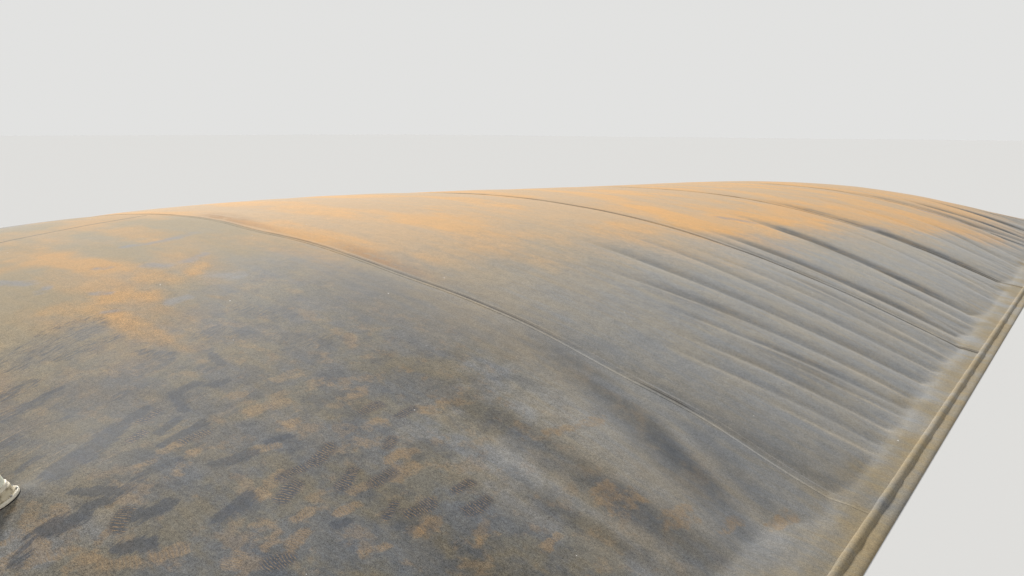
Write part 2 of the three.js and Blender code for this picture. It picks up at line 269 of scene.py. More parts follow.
def crease_fields(u, v, creases, half):
    """Depth of the creases, the dark band of wash and painted shade beside them, and the line of dust and
    painted highlight in them.

    The creases run along u, and v is across them. half is where the edge is on u. The dark band
    lies on a crease's +v side, and in places on the other side too.
    """
    depth = np.zeros_like(u)
    washed = np.zeros_like(u)
    caught = np.zeros_like(u)
    for deepest, width, path in creases:
        us, vs = np.array(sorted(path)).T
        middle = vs.mean()
        route = np.polynomial.Polynomial.fit(us, vs, min(3, len(us) - 1))
        inner = us[np.argmin(np.abs(us))]
        outward = np.sign(us[np.argmax(np.abs(us))])
        run = (u - inner) * outward
        near = (run > -PATH_BEFORE) & (np.abs(v - middle) < CREASE_HALO)
        if not near.any():
            continue
        at = np.clip(u[near], us.min() - PATH_BEFORE, us.max() + PATH_BEYOND)
        away = v[near] - route(at)
        off_middle = np.abs(u[near])
        slack = smooth(*SLACK_FROM_TO, middle)
        taut = 1 - slack

        bottom = CREASE_ROUND * taut + SLACK_ROUND * slack
        rounded = np.sqrt(away**2 + bottom**2) - bottom
        narrow = CREASE_NARROWING * width
        swell = smooth(0, CREASE_FADE, run[near]) * smooth(half + 0.05, half - 0.10, off_middle)
        depth[near] += deepest * swell * np.exp(-rounded / narrow)

        # The dark band beside the crease: dust washed off by rain, and painted shade
        onset = smooth(-0.04 - 0.30 * slack, 0.03 + 0.30 * slack, away)
        reach = WASH_REACH * narrow
        band = smooth(reach, BAND_FRINGE * reach, away) * onset
        before = smooth(0.1, 0.6, line_noise(at, 3 * middle, 1.6, 2, 33)) * taut
        other_band = before * smooth(1.2 * reach, BAND_FRINGE * reach, -away) * (1 - onset)
        band = np.maximum(band, OTHER_BAND * other_band)
        inside = smooth(half - 0.10, half - 1.0, off_middle) * (1 - 0.30 * slack)
        share = min(1, deepest / DEEP_CREASE)
        dark = np.maximum(share**WASH_POWER, FAINT_WASH * before)
        washed[near] = np.maximum(washed[near], swell * inside * band * dark)

        # The pale line in the crease: dust, and a painted highlight
        line = np.exp(-((away / CAUGHT_WIDTH + CAUGHT_OFFSET) ** 2))
        patchy = 0.75 + 0.45 * line_noise(at, 5 * middle, 0.9, 2, 37)
        caught[near] = np.maximum(caught[near], swell * line * patchy * taut)
    return depth, washed, caught


SEAM_CREASE = 0.022  # depth of the crease along a seam
SEAM_WIDTH = 0.24  # of that crease
SEAM_WASH = 0.20  # how far the dark band of wash and painted shade beside a seam reaches
SEAM_DARKNESS = 0.36
TAUT_SEAM = 0.35  # share of the crease that is left where the bent seam is pulled straight
BEND_FROM_TO = (3.4, 5.0)  # across the cover, from loose to straight
DEEPEST_SHARE = 0.7  # no crease takes more of the cover's height than this
CALM_CORNER = (0.8, 2.2)  # the creases fade out from the second distance to the first
CALM_OUTLET = (0.15, 0.6)
ROLL_HEIGHT = 0.010  # of the low swells all over the cover
PUCKER_PITCH = 0.23
PUCKER_HEIGHT = 0.010

# How the seam nearest the camera bends: (x, offset along the cover)
SEAM_BENDS = [
    (-2.0, 0.12),
    (-1.0, 0.20),
    (0.5, 0.13),
    (1.5, 0.00),
    (2.5, 0.08),
    (4.2, 0.00),
    (5.0, 0.05),
    (6.0, 0.08),
    (7.1, 0.04),
    (7.6, 0.09),
    (8.1, 0.06),
    (8.9, -0.10),
]
BENT_SEAM = 1
BEND_ROUNDING = (-0.3, -0.1, 0.1, 0.3)  # the bends are evened out over these shifts
SEAM_WANDER = 0.045


def seam_line(index, x):
    """Where a seam runs: straight across, but for a few centimetres of wander."""
    if index == BENT_SEAM:
        wander = np.mean([interpolated(x + shift, SEAM_BENDS) for shift in BEND_ROUNDING], axis=0)
    else:
        wander = SEAM_WANDER * line_noise(x, 7.0 * index, 1.7, 2, 40)
    return SEAMS[index] + wander * smooth(0, 1.5, COVER_X - np.abs(x))


def puckers(x, y):
    """Short folds where the cover is pulled down to its margin."""

    def folds(along, side, lane, inward, seed):
        beside_edge = smooth(1.1, 0.25, inward) * smooth(0, 0.15, inward)
        return fractal(along, np.sign(side) * 3 + lane, PUCKER_PITCH, 2, seed) * beside_edge

    at_sides = folds(y, x, 11, HALF_WIDTH - np.abs(x), 51)
    at_ends = folds(x, y, 19, HALF_LENGTH - np.abs(y), 52)
    return PUCKER_HEIGHT * (at_sides + at_ends)


def outlet_base():
    """The middle of the gasket's underside."""
    foot_z = COVER_TOP + float(dome_height(np.array(OUTLET_FOOT.x), np.array(OUTLET_FOOT.y)))
    return Vector((OUTLET_FOOT.x, OUTLET_FOOT.y, foot_z)) + OUTLET_LEAN * OUTLET_RISE


OUTLET_BASE = outlet_base()
BOOT_TOP_RADIUS = 0.126
BULGE_SPREAD = 1.30  # how far from the outlet the cover is lifted
BULGE_SINK = 0.004  # the lifted cover lies this far under the gasket


def outlet_bulge(x, y):
    """How far the outlet lifts the cover: by its rise at the boot's rim, less and less outward."""
    dx, dy = x - OUTLET_BASE.x, y - OUTLET_BASE.y
    away = np.hypot(dx, dy)
    inward = BOOT_TOP_RADIUS / np.maximum(away, BOOT_TOP_RADIUS)
    dx, dy = dx * inward, dy * inward
    plane = OUTLET_BASE.z - (OUTLET_LEAN.x * dx + OUTLET_LEAN.y * dy) / OUTLET_LEAN.z
    smooth_cover = COVER_TOP + dome_height(OUTLET_BASE.x + dx, OUTLET_BASE.y + dy)
    share = np.clip((away - BOOT_TOP_RADIUS) / BULGE_SPREAD, 0, 1)
    return (plane - BULGE_SINK - smooth_cover) * (0.5 + 0.5 * np.cos(math.pi * share))


def seam_fields(x, y):
    """Depth of the creases along the seams, and the dark band of wash and painted shade beside them."""
    depth = 0
    washed = 0
    inside = smooth(0, 0.8, HALF_WIDTH - np.abs(x))
    for index in range(len(SEAMS)):
        away = y - seam_line(index, x)
        strength = 1 + 0.6 * line_noise(x, index, 1.4, 2, 61)
        if index == BENT_SEAM:
            straight = smooth(*BEND_FROM_TO, x)
            strength = strength * smooth(*reversed(BEND_FROM_TO), x) + TAUT_SEAM * straight
        depth = depth + SEAM_CREASE * strength * np.exp(-np.abs(away) / SEAM_WIDTH) * inside
        # The dark band beside a seam: dust washed off by rain, and painted shade
        band = np.exp(-np.maximum(away, 0) / SEAM_WASH) * smooth(-0.05, 0.0, away)
        on_flank = smooth(2.5, 5.5, np.abs(x))
        washed = np.maximum(washed, SEAM_DARKNESS * strength * band * inside * on_flank)
    return depth, washed


def cover_relief(x, y):
    """What the creases, puckers and seams add to the dome's height, the dark bands of wash and painted
    shade, and the lines of dust and painted highlight in the creases."""
    across, washed_across, caught = crease_fields(x, y, CREASES_ACROSS, HALF_WIDTH)
    along, washed_along, _ = crease_fields(y, x, CREASES_ALONG, HALF_LENGTH)
    in_from_side = HALF_WIDTH - np.abs(x)
    corner = smooth(*CALM_CORNER, np.hypot(in_from_side, HALF_LENGTH - np.abs(y)))
    at_seams, washed_seams = seam_fields(x, y)
    relief = puckers(x, y) - np.minimum((across + along) * corner, DEEPEST_SHARE * dome_height(x, y))
    relief += ROLL_HEIGHT * fractal(x, y, (1.9, 1.1), 3, 71) * smooth(0, 1.2, in_from_side) - at_seams
    beside_outlet = np.hypot(x - OUTLET_BASE.x, y - OUTLET_BASE.y)
    relief = relief * smooth(*CALM_OUTLET, beside_outlet) + outlet_bulge(x, y)
    washed = np.maximum(np.maximum(washed_across, washed_along) * corner, washed_seams)
    return relief, np.clip(washed, 0, 1), caught * corner


MARGIN_DROOP = 0.034


def margin_droop(x, y):
    """How far the margin has sunk, from the dome's edge outward."""
    outside = np.maximum(np.abs(x) - HALF_WIDTH, np.abs(y) - HALF_LENGTH)
    return MARGIN_DROOP * smooth(0, MARGIN, outside)


def cover_surface(x, y):
    """Height of the visible cover, creases and all."""
    return COVER_TOP + dome_height(x, y) + cover_relief(x, y)[0] - margin_droop(x, y)


# Dust. Each function gives an amount from 0 to 1 at points of the cover.

# Half-width of the orange dust on the crest, at places along the cover: (y, half-width)
ORANGE_REACH = [
    (-17.0, 3.6),
    (-12.4, 4.2),
    (-11.6, 4.1),
    (-10.9, 3.4),
    (-10.2, 2.9),
    (-9.3, 3.2),
    (-8.4, 3.8),
    (-7.0, 4.5),
    (-5.0, 5.0),
    (-3.5, 5.4),
    (-2.0, 6.0),
    (0.0, 6.2),
    (2.0, 6.5),
    (4.0, 7.2),
    (6.0, 7.7),
    (9.0, 8.3),
    (17.0, 8.6),
]
# The film that greys the sheet, with a painted sheen in it that grows away from the near end, at places
# along the cover: (y, amount)
FILM_ALONG = [
    (-17.0, 0.17),
    (-12.5, 0.16),
    (-10.5, 0.21),
    (-9.0, 0.37),
    (-8.4, 0.53),
    (-6.0, 0.67),
    (-2.0, 0.78),
    (2.0, 0.82),
    (8.0, 0.84),
]
CREST_FLANK = (3.6, 6.3)  # from the crest's dust to the grey flank, on the near sheets
NEAR_FLANK = (5.4, 7.2)
FLANK_FILM = 0.25
OUTLET_FRONT = (5.85, -13.25)  # painted light in front of the outlet, lifting the shade of the bulge round it
OUTLET_FILM = 0.22
FOOT = (1.9, 0.6)  # how far in from the edge the near flank's foot is dark
FOOT_FILM = -0.12


def orange_dust(x, y):
    """Loose orange dust: thick on the crest, thinning out down the flanks in tongues."""
    tongues = 0.7 * fractal(x, y, (3.2, 1.1), 3, 81) + 0.30 * fractal(x, y, 0.7, 3, 85)
    near = smooth(1.5, -1.9, np.abs(x) + tongues - interpolated(y, ORANGE_REACH))
    thick = 0.88 + 0.14 * fractal(x, y, (1.8, 0.9), 3, 88)
    return np.clip(near * thick, 0, 1)


def dust_film(x, y):
    """The fine pale film that greys the black sheet, with painted light in it. It is heavier away from
    the near end, as dust and as painted sheen, and painted light lifts it in front of the outlet.
    """
    beside_crest = smooth(*reversed(CREST_FLANK), np.abs(x)) * smooth(-8.6, -9.4, y)
    near_flank = smooth(*NEAR_FLANK, x) * smooth(-11.7, -10.4, y) * smooth(-8.5, -9.2, y)
    # Painted light in front of the outlet, lifting the shade of its bulge
    before_outlet = smooth(0.62, 0.25, np.hypot(x - OUTLET_FRONT[0], y - OUTLET_FRONT[1]))
    at_foot = smooth(*FOOT, HALF_WIDTH - x) * smooth(-7.6, -9.2, y)
    # The film, with a painted sheen that grows away from the near end
    base = interpolated(y, FILM_ALONG) * (1 - 0.38 * beside_crest)
    base += FLANK_FILM * near_flank + OUTLET_FILM * before_outlet + FOOT_FILM * at_foot
    streaks = fractal(x, y, (2.6, 0.35), 3, 101)
    patches = fractal(x, y, 1.3, 4, 105)
    return np.clip(base + 0.04 * streaks + 0.05 * patches, 0, 1)


def warm_film(x, y):
    """Where the sheet's pale dust is tan rather than grey: up the flank, towards the crest."""
    ragged = 1.3 * fractal(x, y, (3.0, 0.8), 3, 95)
    return smooth(6.9, 3.8, np.abs(x) + ragged - 1.2 * smooth(-3, 3, y)) * smooth(-16.0, -10.0, y)


def trampled_sheets(x, y):
    """1 on the near sheets, which people cross to reach the outlet and so have duller dust."""
    return smooth(0.03, -0.03, y - seam_line(BENT_SEAM, x))


def edge_soil(x, y):
    """Sandy soil washed and trodden along the margin."""
    inward = np.minimum(COVER_X - np.abs(x), COVER_Y - np.abs(y))
    ragged = 0.30 * fractal(x, y, 0.45, 4, 111)
    return smooth(0.66, -0.04, inward + ragged) * (0.66 + 0.34 * fractal(x, y, 0.5, 3, 115))


WALKED_END = dict(centre=(5.2, -12.6), reach=(4.4, 4.2), ragged=0.22, size=1.2, octaves=4, seed=121)
DRAGGED_SPOT = dict(centre=(4.1, -12.6), reach=(1.9, 2.0), ragged=0.20, size=0.8, octaves=4, seed=125)
# Painted shade beside the outlet, where the bulge round it catches the light
WORN_SPOT = dict(centre=(4.9, -12.8), reach=(1, 1), ragged=0.25, size=0.6, octaves=3, seed=127)


def ragged_patch(x, y, centre, reach, ragged, size, octaves, seed):
    """Where a patch is, as distance from its centre in units of its reach, with a ragged rim."""
    beside = np.hypot((x - centre[0]) / reach[0], (y - centre[1]) / reach[1])
    return beside + ragged * fractal(x, y, size, octaves, seed)


def trodden(x, y):
    """Where people have walked: the near end of the cover, round the outlet."""
    return smooth(1.10, 0.50, ragged_patch(x, y, **WALKED_END)) * smooth(-8.8, -9.8, y)


def dragged(x, y):
    """Where something was dragged over the dust, beside the outlet."""
    return smooth(1.15, 0.55, ragged_patch(x, y, **DRAGGED_SPOT))


def worn(x, y):
    """Painted shade beside the outlet, darkening the side of the cover's bulge round it that catches the
    light.
    """
    return smooth(1.05, 0.35, ragged_patch(x, y, **WORN_SPOT))


def seam_dust(x, y):
    """Rusty dust lying on the far side of the seam nearest the camera."""
    away = y - seam_line(BENT_SEAM, x)
    reach = 0.46 + 0.20 * fractal(x, y, (1.2, 0.5), 3, 128)
    across = smooth(0.02, 0.10, away) * smooth(reach, 0.3 * reach, away)
    return across * smooth(-0.8, 0.2, x) * smooth(4.9, 3.5, x)


# Marks in the dust. Each is a stroke: from (x, y), to (x, y), its width and how strong it is. One
# without a strength is as strong as can be.

DARK_SMEARS = [
    (3.95, -12.8, 3.88, -12.55, 0.15, 0.28),
    (4.25, -12.87, 4.14, -12.47, 0.15, 0.34),
    (4.37, -12.6, 4.42, -12.4, 0.08, 0.18),
    (4.57, -12.3, 4.58, -12.18, 0.09, 0.23),
    (4.6, -12.72, 4.61, -12.57, 0.07, 0.23),
    (4.87, -11.92, 4.86, -11.7, 0.12),
    (4.96, -11.66, 4.97, -11.58, 0.12),
    (5.34, -13.02, 5.06, -12.52, 0.24),
    (5.08, -12.55, 4.92, -12.21, 0.15),
    (5.29, -12.3, 5.19, -12.1, 0.09),
    (5.46, -12.38, 5.36, -12.02, 0.11),
    (5.12, -11.99, 4.9, -11.92, 0.1),
    (5.88, -12.22, 5.93, -11.98, 0.13),
    (5.9, -11.83, 5.94, -11.7, 0.11),
    (6.35, -12.54, 6.3, -12.3, 0.15),
    (4.65, -13.08, 4.61, -12.98, 0.1),
    (5.06, -13.14, 5.03, -13.0, 0.08),
    (5.62, -13.02, 5.71, -12.88, 0.11),
    (5.83, -13.3, 5.84, -13.09, 0.15),
    (5.77, -13.06, 5.77, -12.95, 0.1),
    (6.04, -12.9, 6.03, -12.68, 0.12),
    (6.21, -13.09, 6.26, -12.93, 0.13),
    (5.94, -13.5, 5.8, -13.37, 0.11, 0.34),
    (5.82, -12.94, 5.69, -12.63, 0.08, 0.34),
    (5.69, -12.63, 5.67, -12.37, 0.07, 0.28),
    (6.88, -12.08, 6.89, -11.97, 0.09),
    (3.4, -12.4, 3.12, -11.78, 0.44, 0.03),
    (3.65, -12.18, 3.58, -11.72, 0.17, 0.1),
    (4.05, -11.7, 4.27, -11.63, 0.15, 0.23),
    (4.5, -11.35, 4.69, -11.41, 0.12),
    (4.09, -11.18, 4.1, -11.03, 0.22, 0.18),
    (4.29, -10.96, 4.39, -10.87, 0.17, 0.28),
    (4.67, -10.76, 4.95, -10.5, 0.26, 0.08),
    (3.82, -10.56, 4.29, -10.42, 0.26, 0.08),
]
# Dark prints, with dust left between the cleats
DARK_PRINTS = [
    (6.06, -13.01, 5.95, -12.89, 0.11),
    (6.46, -12.17, 6.41, -12.0, 0.13),
    (6.88, -12.59, 6.89, -12.45, 0.12),
    (5.27, -12.5, 5.22, -12.37, 0.09),
    (5.5, -12.23, 5.49, -12.06, 0.1),
    (5.07, -12.29, 5.01, -12.13, 0.09),
    (6.3, -12.04, 6.28, -11.86, 0.11),
    (6.04, -11.08, 6.03, -10.88, 0.12),
    (6.26, -10.9, 6.24, -10.72, 0.11),
    (6.27, -11.77, 6.23, -11.56, 0.13),
    (6.6, -11.8, 6.53, -11.61, 0.12),
    (6.71, -11.63, 6.72, -11.45, 0.12),
    (6.49, -11.29, 6.44, -11.15, 0.1),
    (6.99, -11.79, 6.92, -11.66, 0.08),
    (7.09, -11.66, 7.11, -11.48, 0.13),
    (7.31, -11.34, 7.31, -11.15, 0.13),
    (7.11, -11.24, 7.11, -11.09, 0.09),
]
# Smears and prints of orange-brown dust
TAN_PRINTS = [
    (5.5, -11.67, 5.56, -11.42, 0.17, 0.34),
    (5.78, -11.6, 5.8, -11.49, 0.1),
    (6.33, -12.24, 6.26, -12.0, 0.13),
    (5.92, -11.97, 5.98, -11.83, 0.11),
    (6.29, -13.2, 6.35, -13.08, 0.12),
    (6.37, -12.96, 6.4, -12.84, 0.11),
    (6.72, -12.72, 6.59, -12.42, 0.17, 0.23),
    (6.78, -12.52, 6.7, -12.38, 0.07),
    (6.84, -12.41, 6.78, -12.27, 0.12),
    (5.75, -13.27, 5.76, -13.17, 0.09),
    (5.9, -13.42, 5.82, -13.29, 0.1),
    (5.81, -13.37, 5.73, -13.16, 0.14, 0.34),
    (5.98, -13.48, 5.92, -13.35, 0.1, 0.6),
    (5.71, -13.52, 5.73, -13.41, 0.06, 0.4),
    (6.0, -13.4, 6.02, -13.28, 0.09, 0.34),
    (5.89, -13.54, 5.86, -13.43, 0.12, 0.34),
    (6.17, -13.34, 6.15, -13.21, 0.1, 0.34),
    (5.68, -13.38, 5.6, -13.24, 0.12, 0.28),
    (6.08, -13.15, 6.04, -13.05, 0.07),
    (5.78, -12.48, 5.63, -12.18, 0.1, 0.28),
    (5.54, -12.44, 5.5, -12.26, 0.09, 0.28),
    (5.65, -12.69, 5.57, -12.5, 0.08, 0.18),
    (5.48, -11.22, 5.51, -10.96, 0.16, 0.18),
    (5.22, -11.2, 5.25, -11.05, 0.14, 0.23),
    (5.8, -11.05, 5.79, -10.83, 0.15, 0.23),
    (6.24, -11.22, 6.24, -11.04, 0.14, 0.18),
    (6.31, -11.56, 6.31, -11.39, 0.14, 0.23),
    (6.61, -11.36, 6.65, -11.15, 0.13),
    (6.77, -11.48, 6.76, -11.28, 0.13),
    (6.68, -11.8, 6.69, -11.65, 0.09),
    (6.65, -12.24, 6.67, -12.09, 0.1),
    (7.15, -12.12, 7.17, -11.97, 0.077, 0.23),
    (6.79, -11.98, 6.8, -11.84, 0.08),
    (7.87, -11.28, 7.83, -11.05, 0.084, 0.3),
    (7.56, -11.51, 7.56, -11.37, 0.063, 0.3),
    (7.23, -11.75, 7.25, -11.54, 0.091, 0.14),
    (6.32, -10.68, 6.34, -10.45, 0.15, 0.23),
    (7.21, -9.7, 7.22, -9.46, 0.119, 0.23),
    (7.77, -10.49, 7.73, -10.3, 0.16, 0.3),
    (7.9, -10.41, 7.93, -10.21, 0.22, 0.34),
    (8.22, -10.23, 8.26, -10.0, 0.18, 0.3),
    (8.5, -9.96, 8.53, -9.73, 0.119, 0.28),
    (8.71, -9.56, 8.77, -9.29, 0.126, 0.23),
    (7.11, -10.1, 7.18, -9.84, 0.105, 0.14),
]
# Patches on the crest that rain has washed to slate grey
SLATE_PATCHES = [
    (1.01, -10.23, 1.16, -9.83, 0.16),
    (1.16, -9.83, 1.04, -9.31, 0.2),
    (2.03, -10.49, 2.21, -10.36, 0.22),
    (2.19, -10.13, 2.09, -9.87, 0.22),
    (1.24, -11.7, 1.6, -11.55, 0.24),
    (1.71, -10.89, 1.76, -10.8, 0.18),
    (2.44, -11.31, 2.53, -11.23, 0.16),
    (2.91, -10.22, 3.05, -10.08, 0.3, 0.5),
    (3.0, -11.5, 3.04, -11.43, 0.14),
    (3.25, -10.96, 3.26, -10.8, 0.18),
    (1.96, -11.63, 1.83, -11.45, 0.14),
    (4.66, -0.79, 5.04, -0.4, 0.34, 0.6),
    (6.28, 3.15, 6.52, 3.44, 0.4, 0.6),
    (6.3, 8.34, 7.52, 8.24, 0.34, 0.8),
]
# Thick orange dust
ORANGE_PATCHES = [
    (-0.17, -11.14, 0.97, -11.06, 0.55),
    (0.97, -11.06, 1.68, -10.79, 0.45),
    (-0.04, -9.74, 0.8, -9.76, 0.5),
    (2.38, -10.67, 2.73, -10.62, 0.34),
    (2.68, -11.29, 2.87, -11.06, 0.36),
    (2.56, -11.67, 3.15, -11.53, 0.3),
    (3.15, -11.53, 3.78, -11.47, 0.3),
    (3.78, -11.47, 4.23, -11.44, 0.26),
    (3.39, -10.6, 3.52, -10.57, 0.14),
    (2.63, -10.35, 2.48, -10.13, 0.22),
    (0.74, -11.5, 0.75, -11.29, 0.34),
    (5.06, -10.75, 5.13, -10.65, 0.13),
    (5.01, -10.27, 5.19, -10.38, 0.13),
    (3.61, -2.11, 4.39, -1.66, 1.5, 0.9),
    (4.39, -1.66, 5.37, -0.74, 1.2, 0.9),
    (5.06, 0.65, 5.54, 1.36, 1.2, 0.8),
    (5.48, 3.71, 6.39, 4.97, 1.6, 0.9),
    (6.31, 5.36, 7.65, 7.38, 1.8, 0.9),
]
# Painted highlights, with some dust, on the folds between the creases by the near seam
PALE_FOLDS = [
    (6.39, -10.54, 7.34, -10.62, 0.42),
    (7.34, -10.62, 7.93, -10.59, 0.42),
    (7.93, -10.59, 8.39, -10.6, 0.42),
    (7.01, -10.98, 7.73, -10.98, 0.36),
    (7.73, -10.98, 8.44, -10.8, 0.36),
    (7.77, -9.12, 8.29, -9.43, 0.36),
    (8.29, -9.43, 8.78, -9.71, 0.36),
    (6.79, -9.78, 7.6, -9.97, 0.75, 0.6),
    (7.6, -9.97, 8.29, -10.0, 0.75, 0.6),
]
FOLD_FILM = 0.15  # film gained on a fold: a painted highlight
FOLD_WARMTH = 0.22
STROKE_WANDER = 0.045


def strokes(x, y, marks):
    """The nearest stroke: its strength on its line, 0 at its edge, down to -1. And the place along
    it, in metres. The outlines wander."""
    x = x + STROKE_WANDER * fractal(x, y, 0.24, 3, 161)
    y = y + STROKE_WANDER * fractal(x, y, 0.24, 3, 165)
    nearness = np.full(np.shape(x), -1.0)
    along = np.zeros(np.shape(x))
    for x0, y0, x1, y1, width, *strength in marks:
        length = math.hypot(x1 - x0, y1 - y0)
        run = ((x - x0) * (x1 - x0) + (y - y0) * (y1 - y0)) / length
        held = np.clip(run / length, 0, 1)
        here = 1 - np.hypot(x - x0 - held * (x1 - x0), y - y0 - held * (y1 - y0)) / (width / 2)
        here = np.minimum(here, strength[0] if strength else 1)
        along = np.where(here > nearness, run, along)
        nearness = np.maximum(nearness, here)
    return nearness, along


# A long scratch on the near sheet's crest: (y, x)
SCRATCH = [
    (-12.5, -0.82),
    (-10.86, -0.89),
    (-10.09, -0.94),
    (-9.5, -1.02),
    (-9.05, -1.06),
    (-8.7, -1.2),
]


def scratch_distance(x, y):
    """How far a place is from the scratch's line, with a sign."""
    return np.where(y < SCRATCH[-1][0], x - interpolated(y, SCRATCH), 1.0)


# How plainly the seam nearest the camera shows as a dark line, of bare track and painted shadow, and as a
# pale one, of dust and painted highlight: (x, dark, pale)
SEAM_SHOWS = [
    (-3.0, 0.9, 0.1),
    (2.6, 1.0, 0.3),
    (5.6, 0.95, 0.5),
    (6.2, 0.25, 0.7),
    (6.5, 0.0, 1.0),
    (7.0, 0.1, 0.8),
    (7.2, 0.9, 0.2),
    (7.55, 0.9, 0.1),
    (7.8, 0.0, 0.9),
    (9.25, 0.0, 0.9),
]
OTHER_SEAMS_SHOW = (0.95, 0.3)


def seam_shows(index, x):
    """How plainly a seam shows, as (dark, pale)."""
    if index != BENT_SEAM:
        return OTHER_SEAMS_SHOW
    places, dark, pale = np.array(SEAM_SHOWS).T
    return np.interp(x, places, dark), np.interp(x, places, pale)


# Meshes


def add_object(name, mesh, material):
    """A new object with its material, smooth all over."""
    mesh.materials.append(material)
    mesh.shade_smooth()
    made = bpy.data.objects.new(name, mesh)
    bpy.context.collection.objects.link(made)
    return made


def register(piece, slot, *nodes):
    """Lets a piece ride on the part's one body, in the place of some of its nodes."""
    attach(piece, "root")
    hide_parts(*nodes)


def grid_mesh(name, points, round_columns=False, bore=None):
    """A mesh through a grid of points. With round_columns, the last column joins the first.

    bore, a circle (x, y, radius), is left open.
    """
    rows, columns = points.shape[:2]
    index = np.arange(rows * columns).reshape(rows, columns)
    if round_columns:
        index = np.hstack([index, index[:, :1]])
    corners = (index[:-1, :-1], index[:-1, 1:], index[1:, 1:], index[1:, :-1])
    quads = np.stack(corners, axis=-1).reshape(-1, 4)
    points = points.reshape(-1, 3)
    if bore:
        away = points[quads].mean(axis=1)[:, :2] - bore[:2]
        quads = quads[np.hypot(*away.T) > bore[2]]
    mesh = bpy.data.meshes.new(name)
    mesh.from_pydata(points, [], quads.tolist())
    return mesh


def paint(mesh, **amounts):
    """Stores amounts at the mesh's points, for its material to read."""
    for name, amount in amounts.items():
        layer = mesh.attributes.new(name, "FLOAT", "POINT")
        layer.data.foreach_set("value", np.ascontiguousarray(amount, dtype=np.float32).ravel())


def paint_dust(mesh, x, y, track=0.0, pale=0.0):
    """Stores the cover's dust at the mesh's points."""
    _, washed, caught = cover_relief(x, y)
    dark_print, dark_along = strokes(x, y, DARK_PRINTS)
    tan_print, tan_along = strokes(x, y, TAN_PRINTS)
    # Painted highlights on the folds go into the film and its warmth
    fold = smooth(-0.1, 1.0, strokes(x, y, PALE_FOLDS)[0])
    paint(
        mesh,
        orange=orange_dust(x, y),
        film=dust_film(x, y) + FOLD_FILM * fold + pale,
        caught=caught,
        warm=warm_film(x, y) + FOLD_WARMTH * fold,
        dull=trampled_sheets(x, y),
        rust=seam_dust(x, y),
        soil=edge_soil(x, y),
        trodden=trodden(x, y),
        dragged=dragged(x, y),
        worn=worn(x, y),
        washed=washed,
        smear=strokes(x, y, DARK_SMEARS)[0],
        dark_print=dark_print,
        tan_print=tan_print,
        tread=np.where(dark_print > tan_print, dark_along, tan_along),
        slate_patch=strokes(x, y, SLATE_PATCHES)[0],
        orange_patch=strokes(x, y, ORANGE_PATCHES)[0],
        scratch=scratch_distance(x, y),
        track=np.broadcast_to(track, np.shape(x)),
    )


# Materials


class Shader:
    """Writes the nodes of one material, or of the world. A value is a number, a colour or another
    node's output."""

    def __init__(self, owner, colour=None):
        owner.use_nodes = True
        self.owner = owner
        self.tree = owner.node_tree
        self.coordinates = self.node("ShaderNodeTexCoord").outputs
        self.place = self.coordinates["Object"]
        self.colour = colour

    def node(self, kind, inputs=(), **settings):
        """A new node. inputs are its sockets' values, by name or by number."""
        made = self.tree.nodes.new(kind)
        for key, value in settings.items():
            setattr(made, key, value)
        for key, value in dict(inputs).items():
            self.put(made.inputs[key], value)
        return made

    def put(self, socket, value):
        """Links a node's output to a socket, or sets the socket to a number or a colour."""
        if isinstance(value, bpy.types.NodeSocket):
            self.tree.links.new(value, socket)
        elif isinstance(value, tuple) and len(value) == 3 and socket.type == "RGBA":
            socket.default_value = (*value, 1)
        else:
            socket.default_value = value

    def attribute(self, name):
        return self.node("ShaderNodeAttribute", attribute_name=name).outputs["Fac"]

    def math(self, operation, *values):
        return self.node("ShaderNodeMath", enumerate(values), operation=operation).outputs[0]

    def vector(self, operation, *values):
        return self.node("ShaderNodeVectorMath", enumerate(values), operation=operation).outputs[0]

    def total(self, *shares, offset=0.0):
        """The sum of values, each times its factor."""
        result = offset
        for value, factor in shares:
            result = self.math("MULTIPLY_ADD", value, factor, result)
        return result

    def product(self, first, *factors):
        for factor in factors:
            first = self.math("MULTIPLY", first, factor)
        return first

    def turned_place(self, angle):
        """The place with the X axis turned by an angle from the part's."""
        inputs = {"Vector": self.place, "Angle": -angle}
        return self.node("ShaderNodeVectorRotate", inputs, rotation_type="Z_AXIS").outputs[0]

    def noise(self, scale, detail=4.0, roughness=0.55, seed=0.0, place=None):
        """Noise round 0.5. scale is a number, or three factors for stretched patches."""
        stretch = scale if isinstance(scale, tuple) else (scale, scale, scale)
        moved = self.vector("MULTIPLY_ADD", place or self.place, stretch, (seed, -seed, 2 * seed))
        inputs = {"Vector": moved, "Scale": 1.0, "Detail": detail, "Roughness": roughness}
        return self.node("ShaderNodeTexNoise", inputs).outputs["Fac"]

    def step(self, value, low, high, to_low=0.0, to_high=1.0):
        """A smooth step of a value from low to high, onto another range."""
        inputs = enumerate((value, low, high, to_low, to_high))
        made = self.node("ShaderNodeMapRange", inputs, interpolation_type="SMOOTHSTEP")
        return made.outputs["Result"]

    def mix(self, amount, a, b):
        inputs = {0: amount, 6: a, 7: b}
        return self.node("ShaderNodeMix", inputs, data_type="RGBA", clamp_factor=True).outputs[2]

    def cover(self, colour, *amounts):
        """Mixes a colour into the one so far, by the product of some amounts."""
        self.colour = self.mix(self.product(*amounts), self.colour, colour)

    def multiply(self, colour):
        self.colour = self.vector("MULTIPLY", self.colour, colour)

    def bump(self, height, distance, strength):
        inputs = {"Strength": strength, "Distance": distance, "Height": height}
        return self.node("ShaderNodeBump", inputs).outputs["Normal"]

    def finish(self, roughness, normal=None, constants=()):
        """The material, from the colour so far. constants are set on the shader's own sockets."""
        surface = self.tree.nodes["Principled BSDF"].inputs
        self.put(surface["Base Color"], self.colour)
        self.put(surface["Roughness"], roughness)
        if normal:
            self.put(surface["Normal"], normal)
        for name, value in dict(constants).items():
            surface[name].default_value = value
        return self.owner


def material_shader(name, colour=None):
    return Shader(bpy.data.materials.new(name), colour)


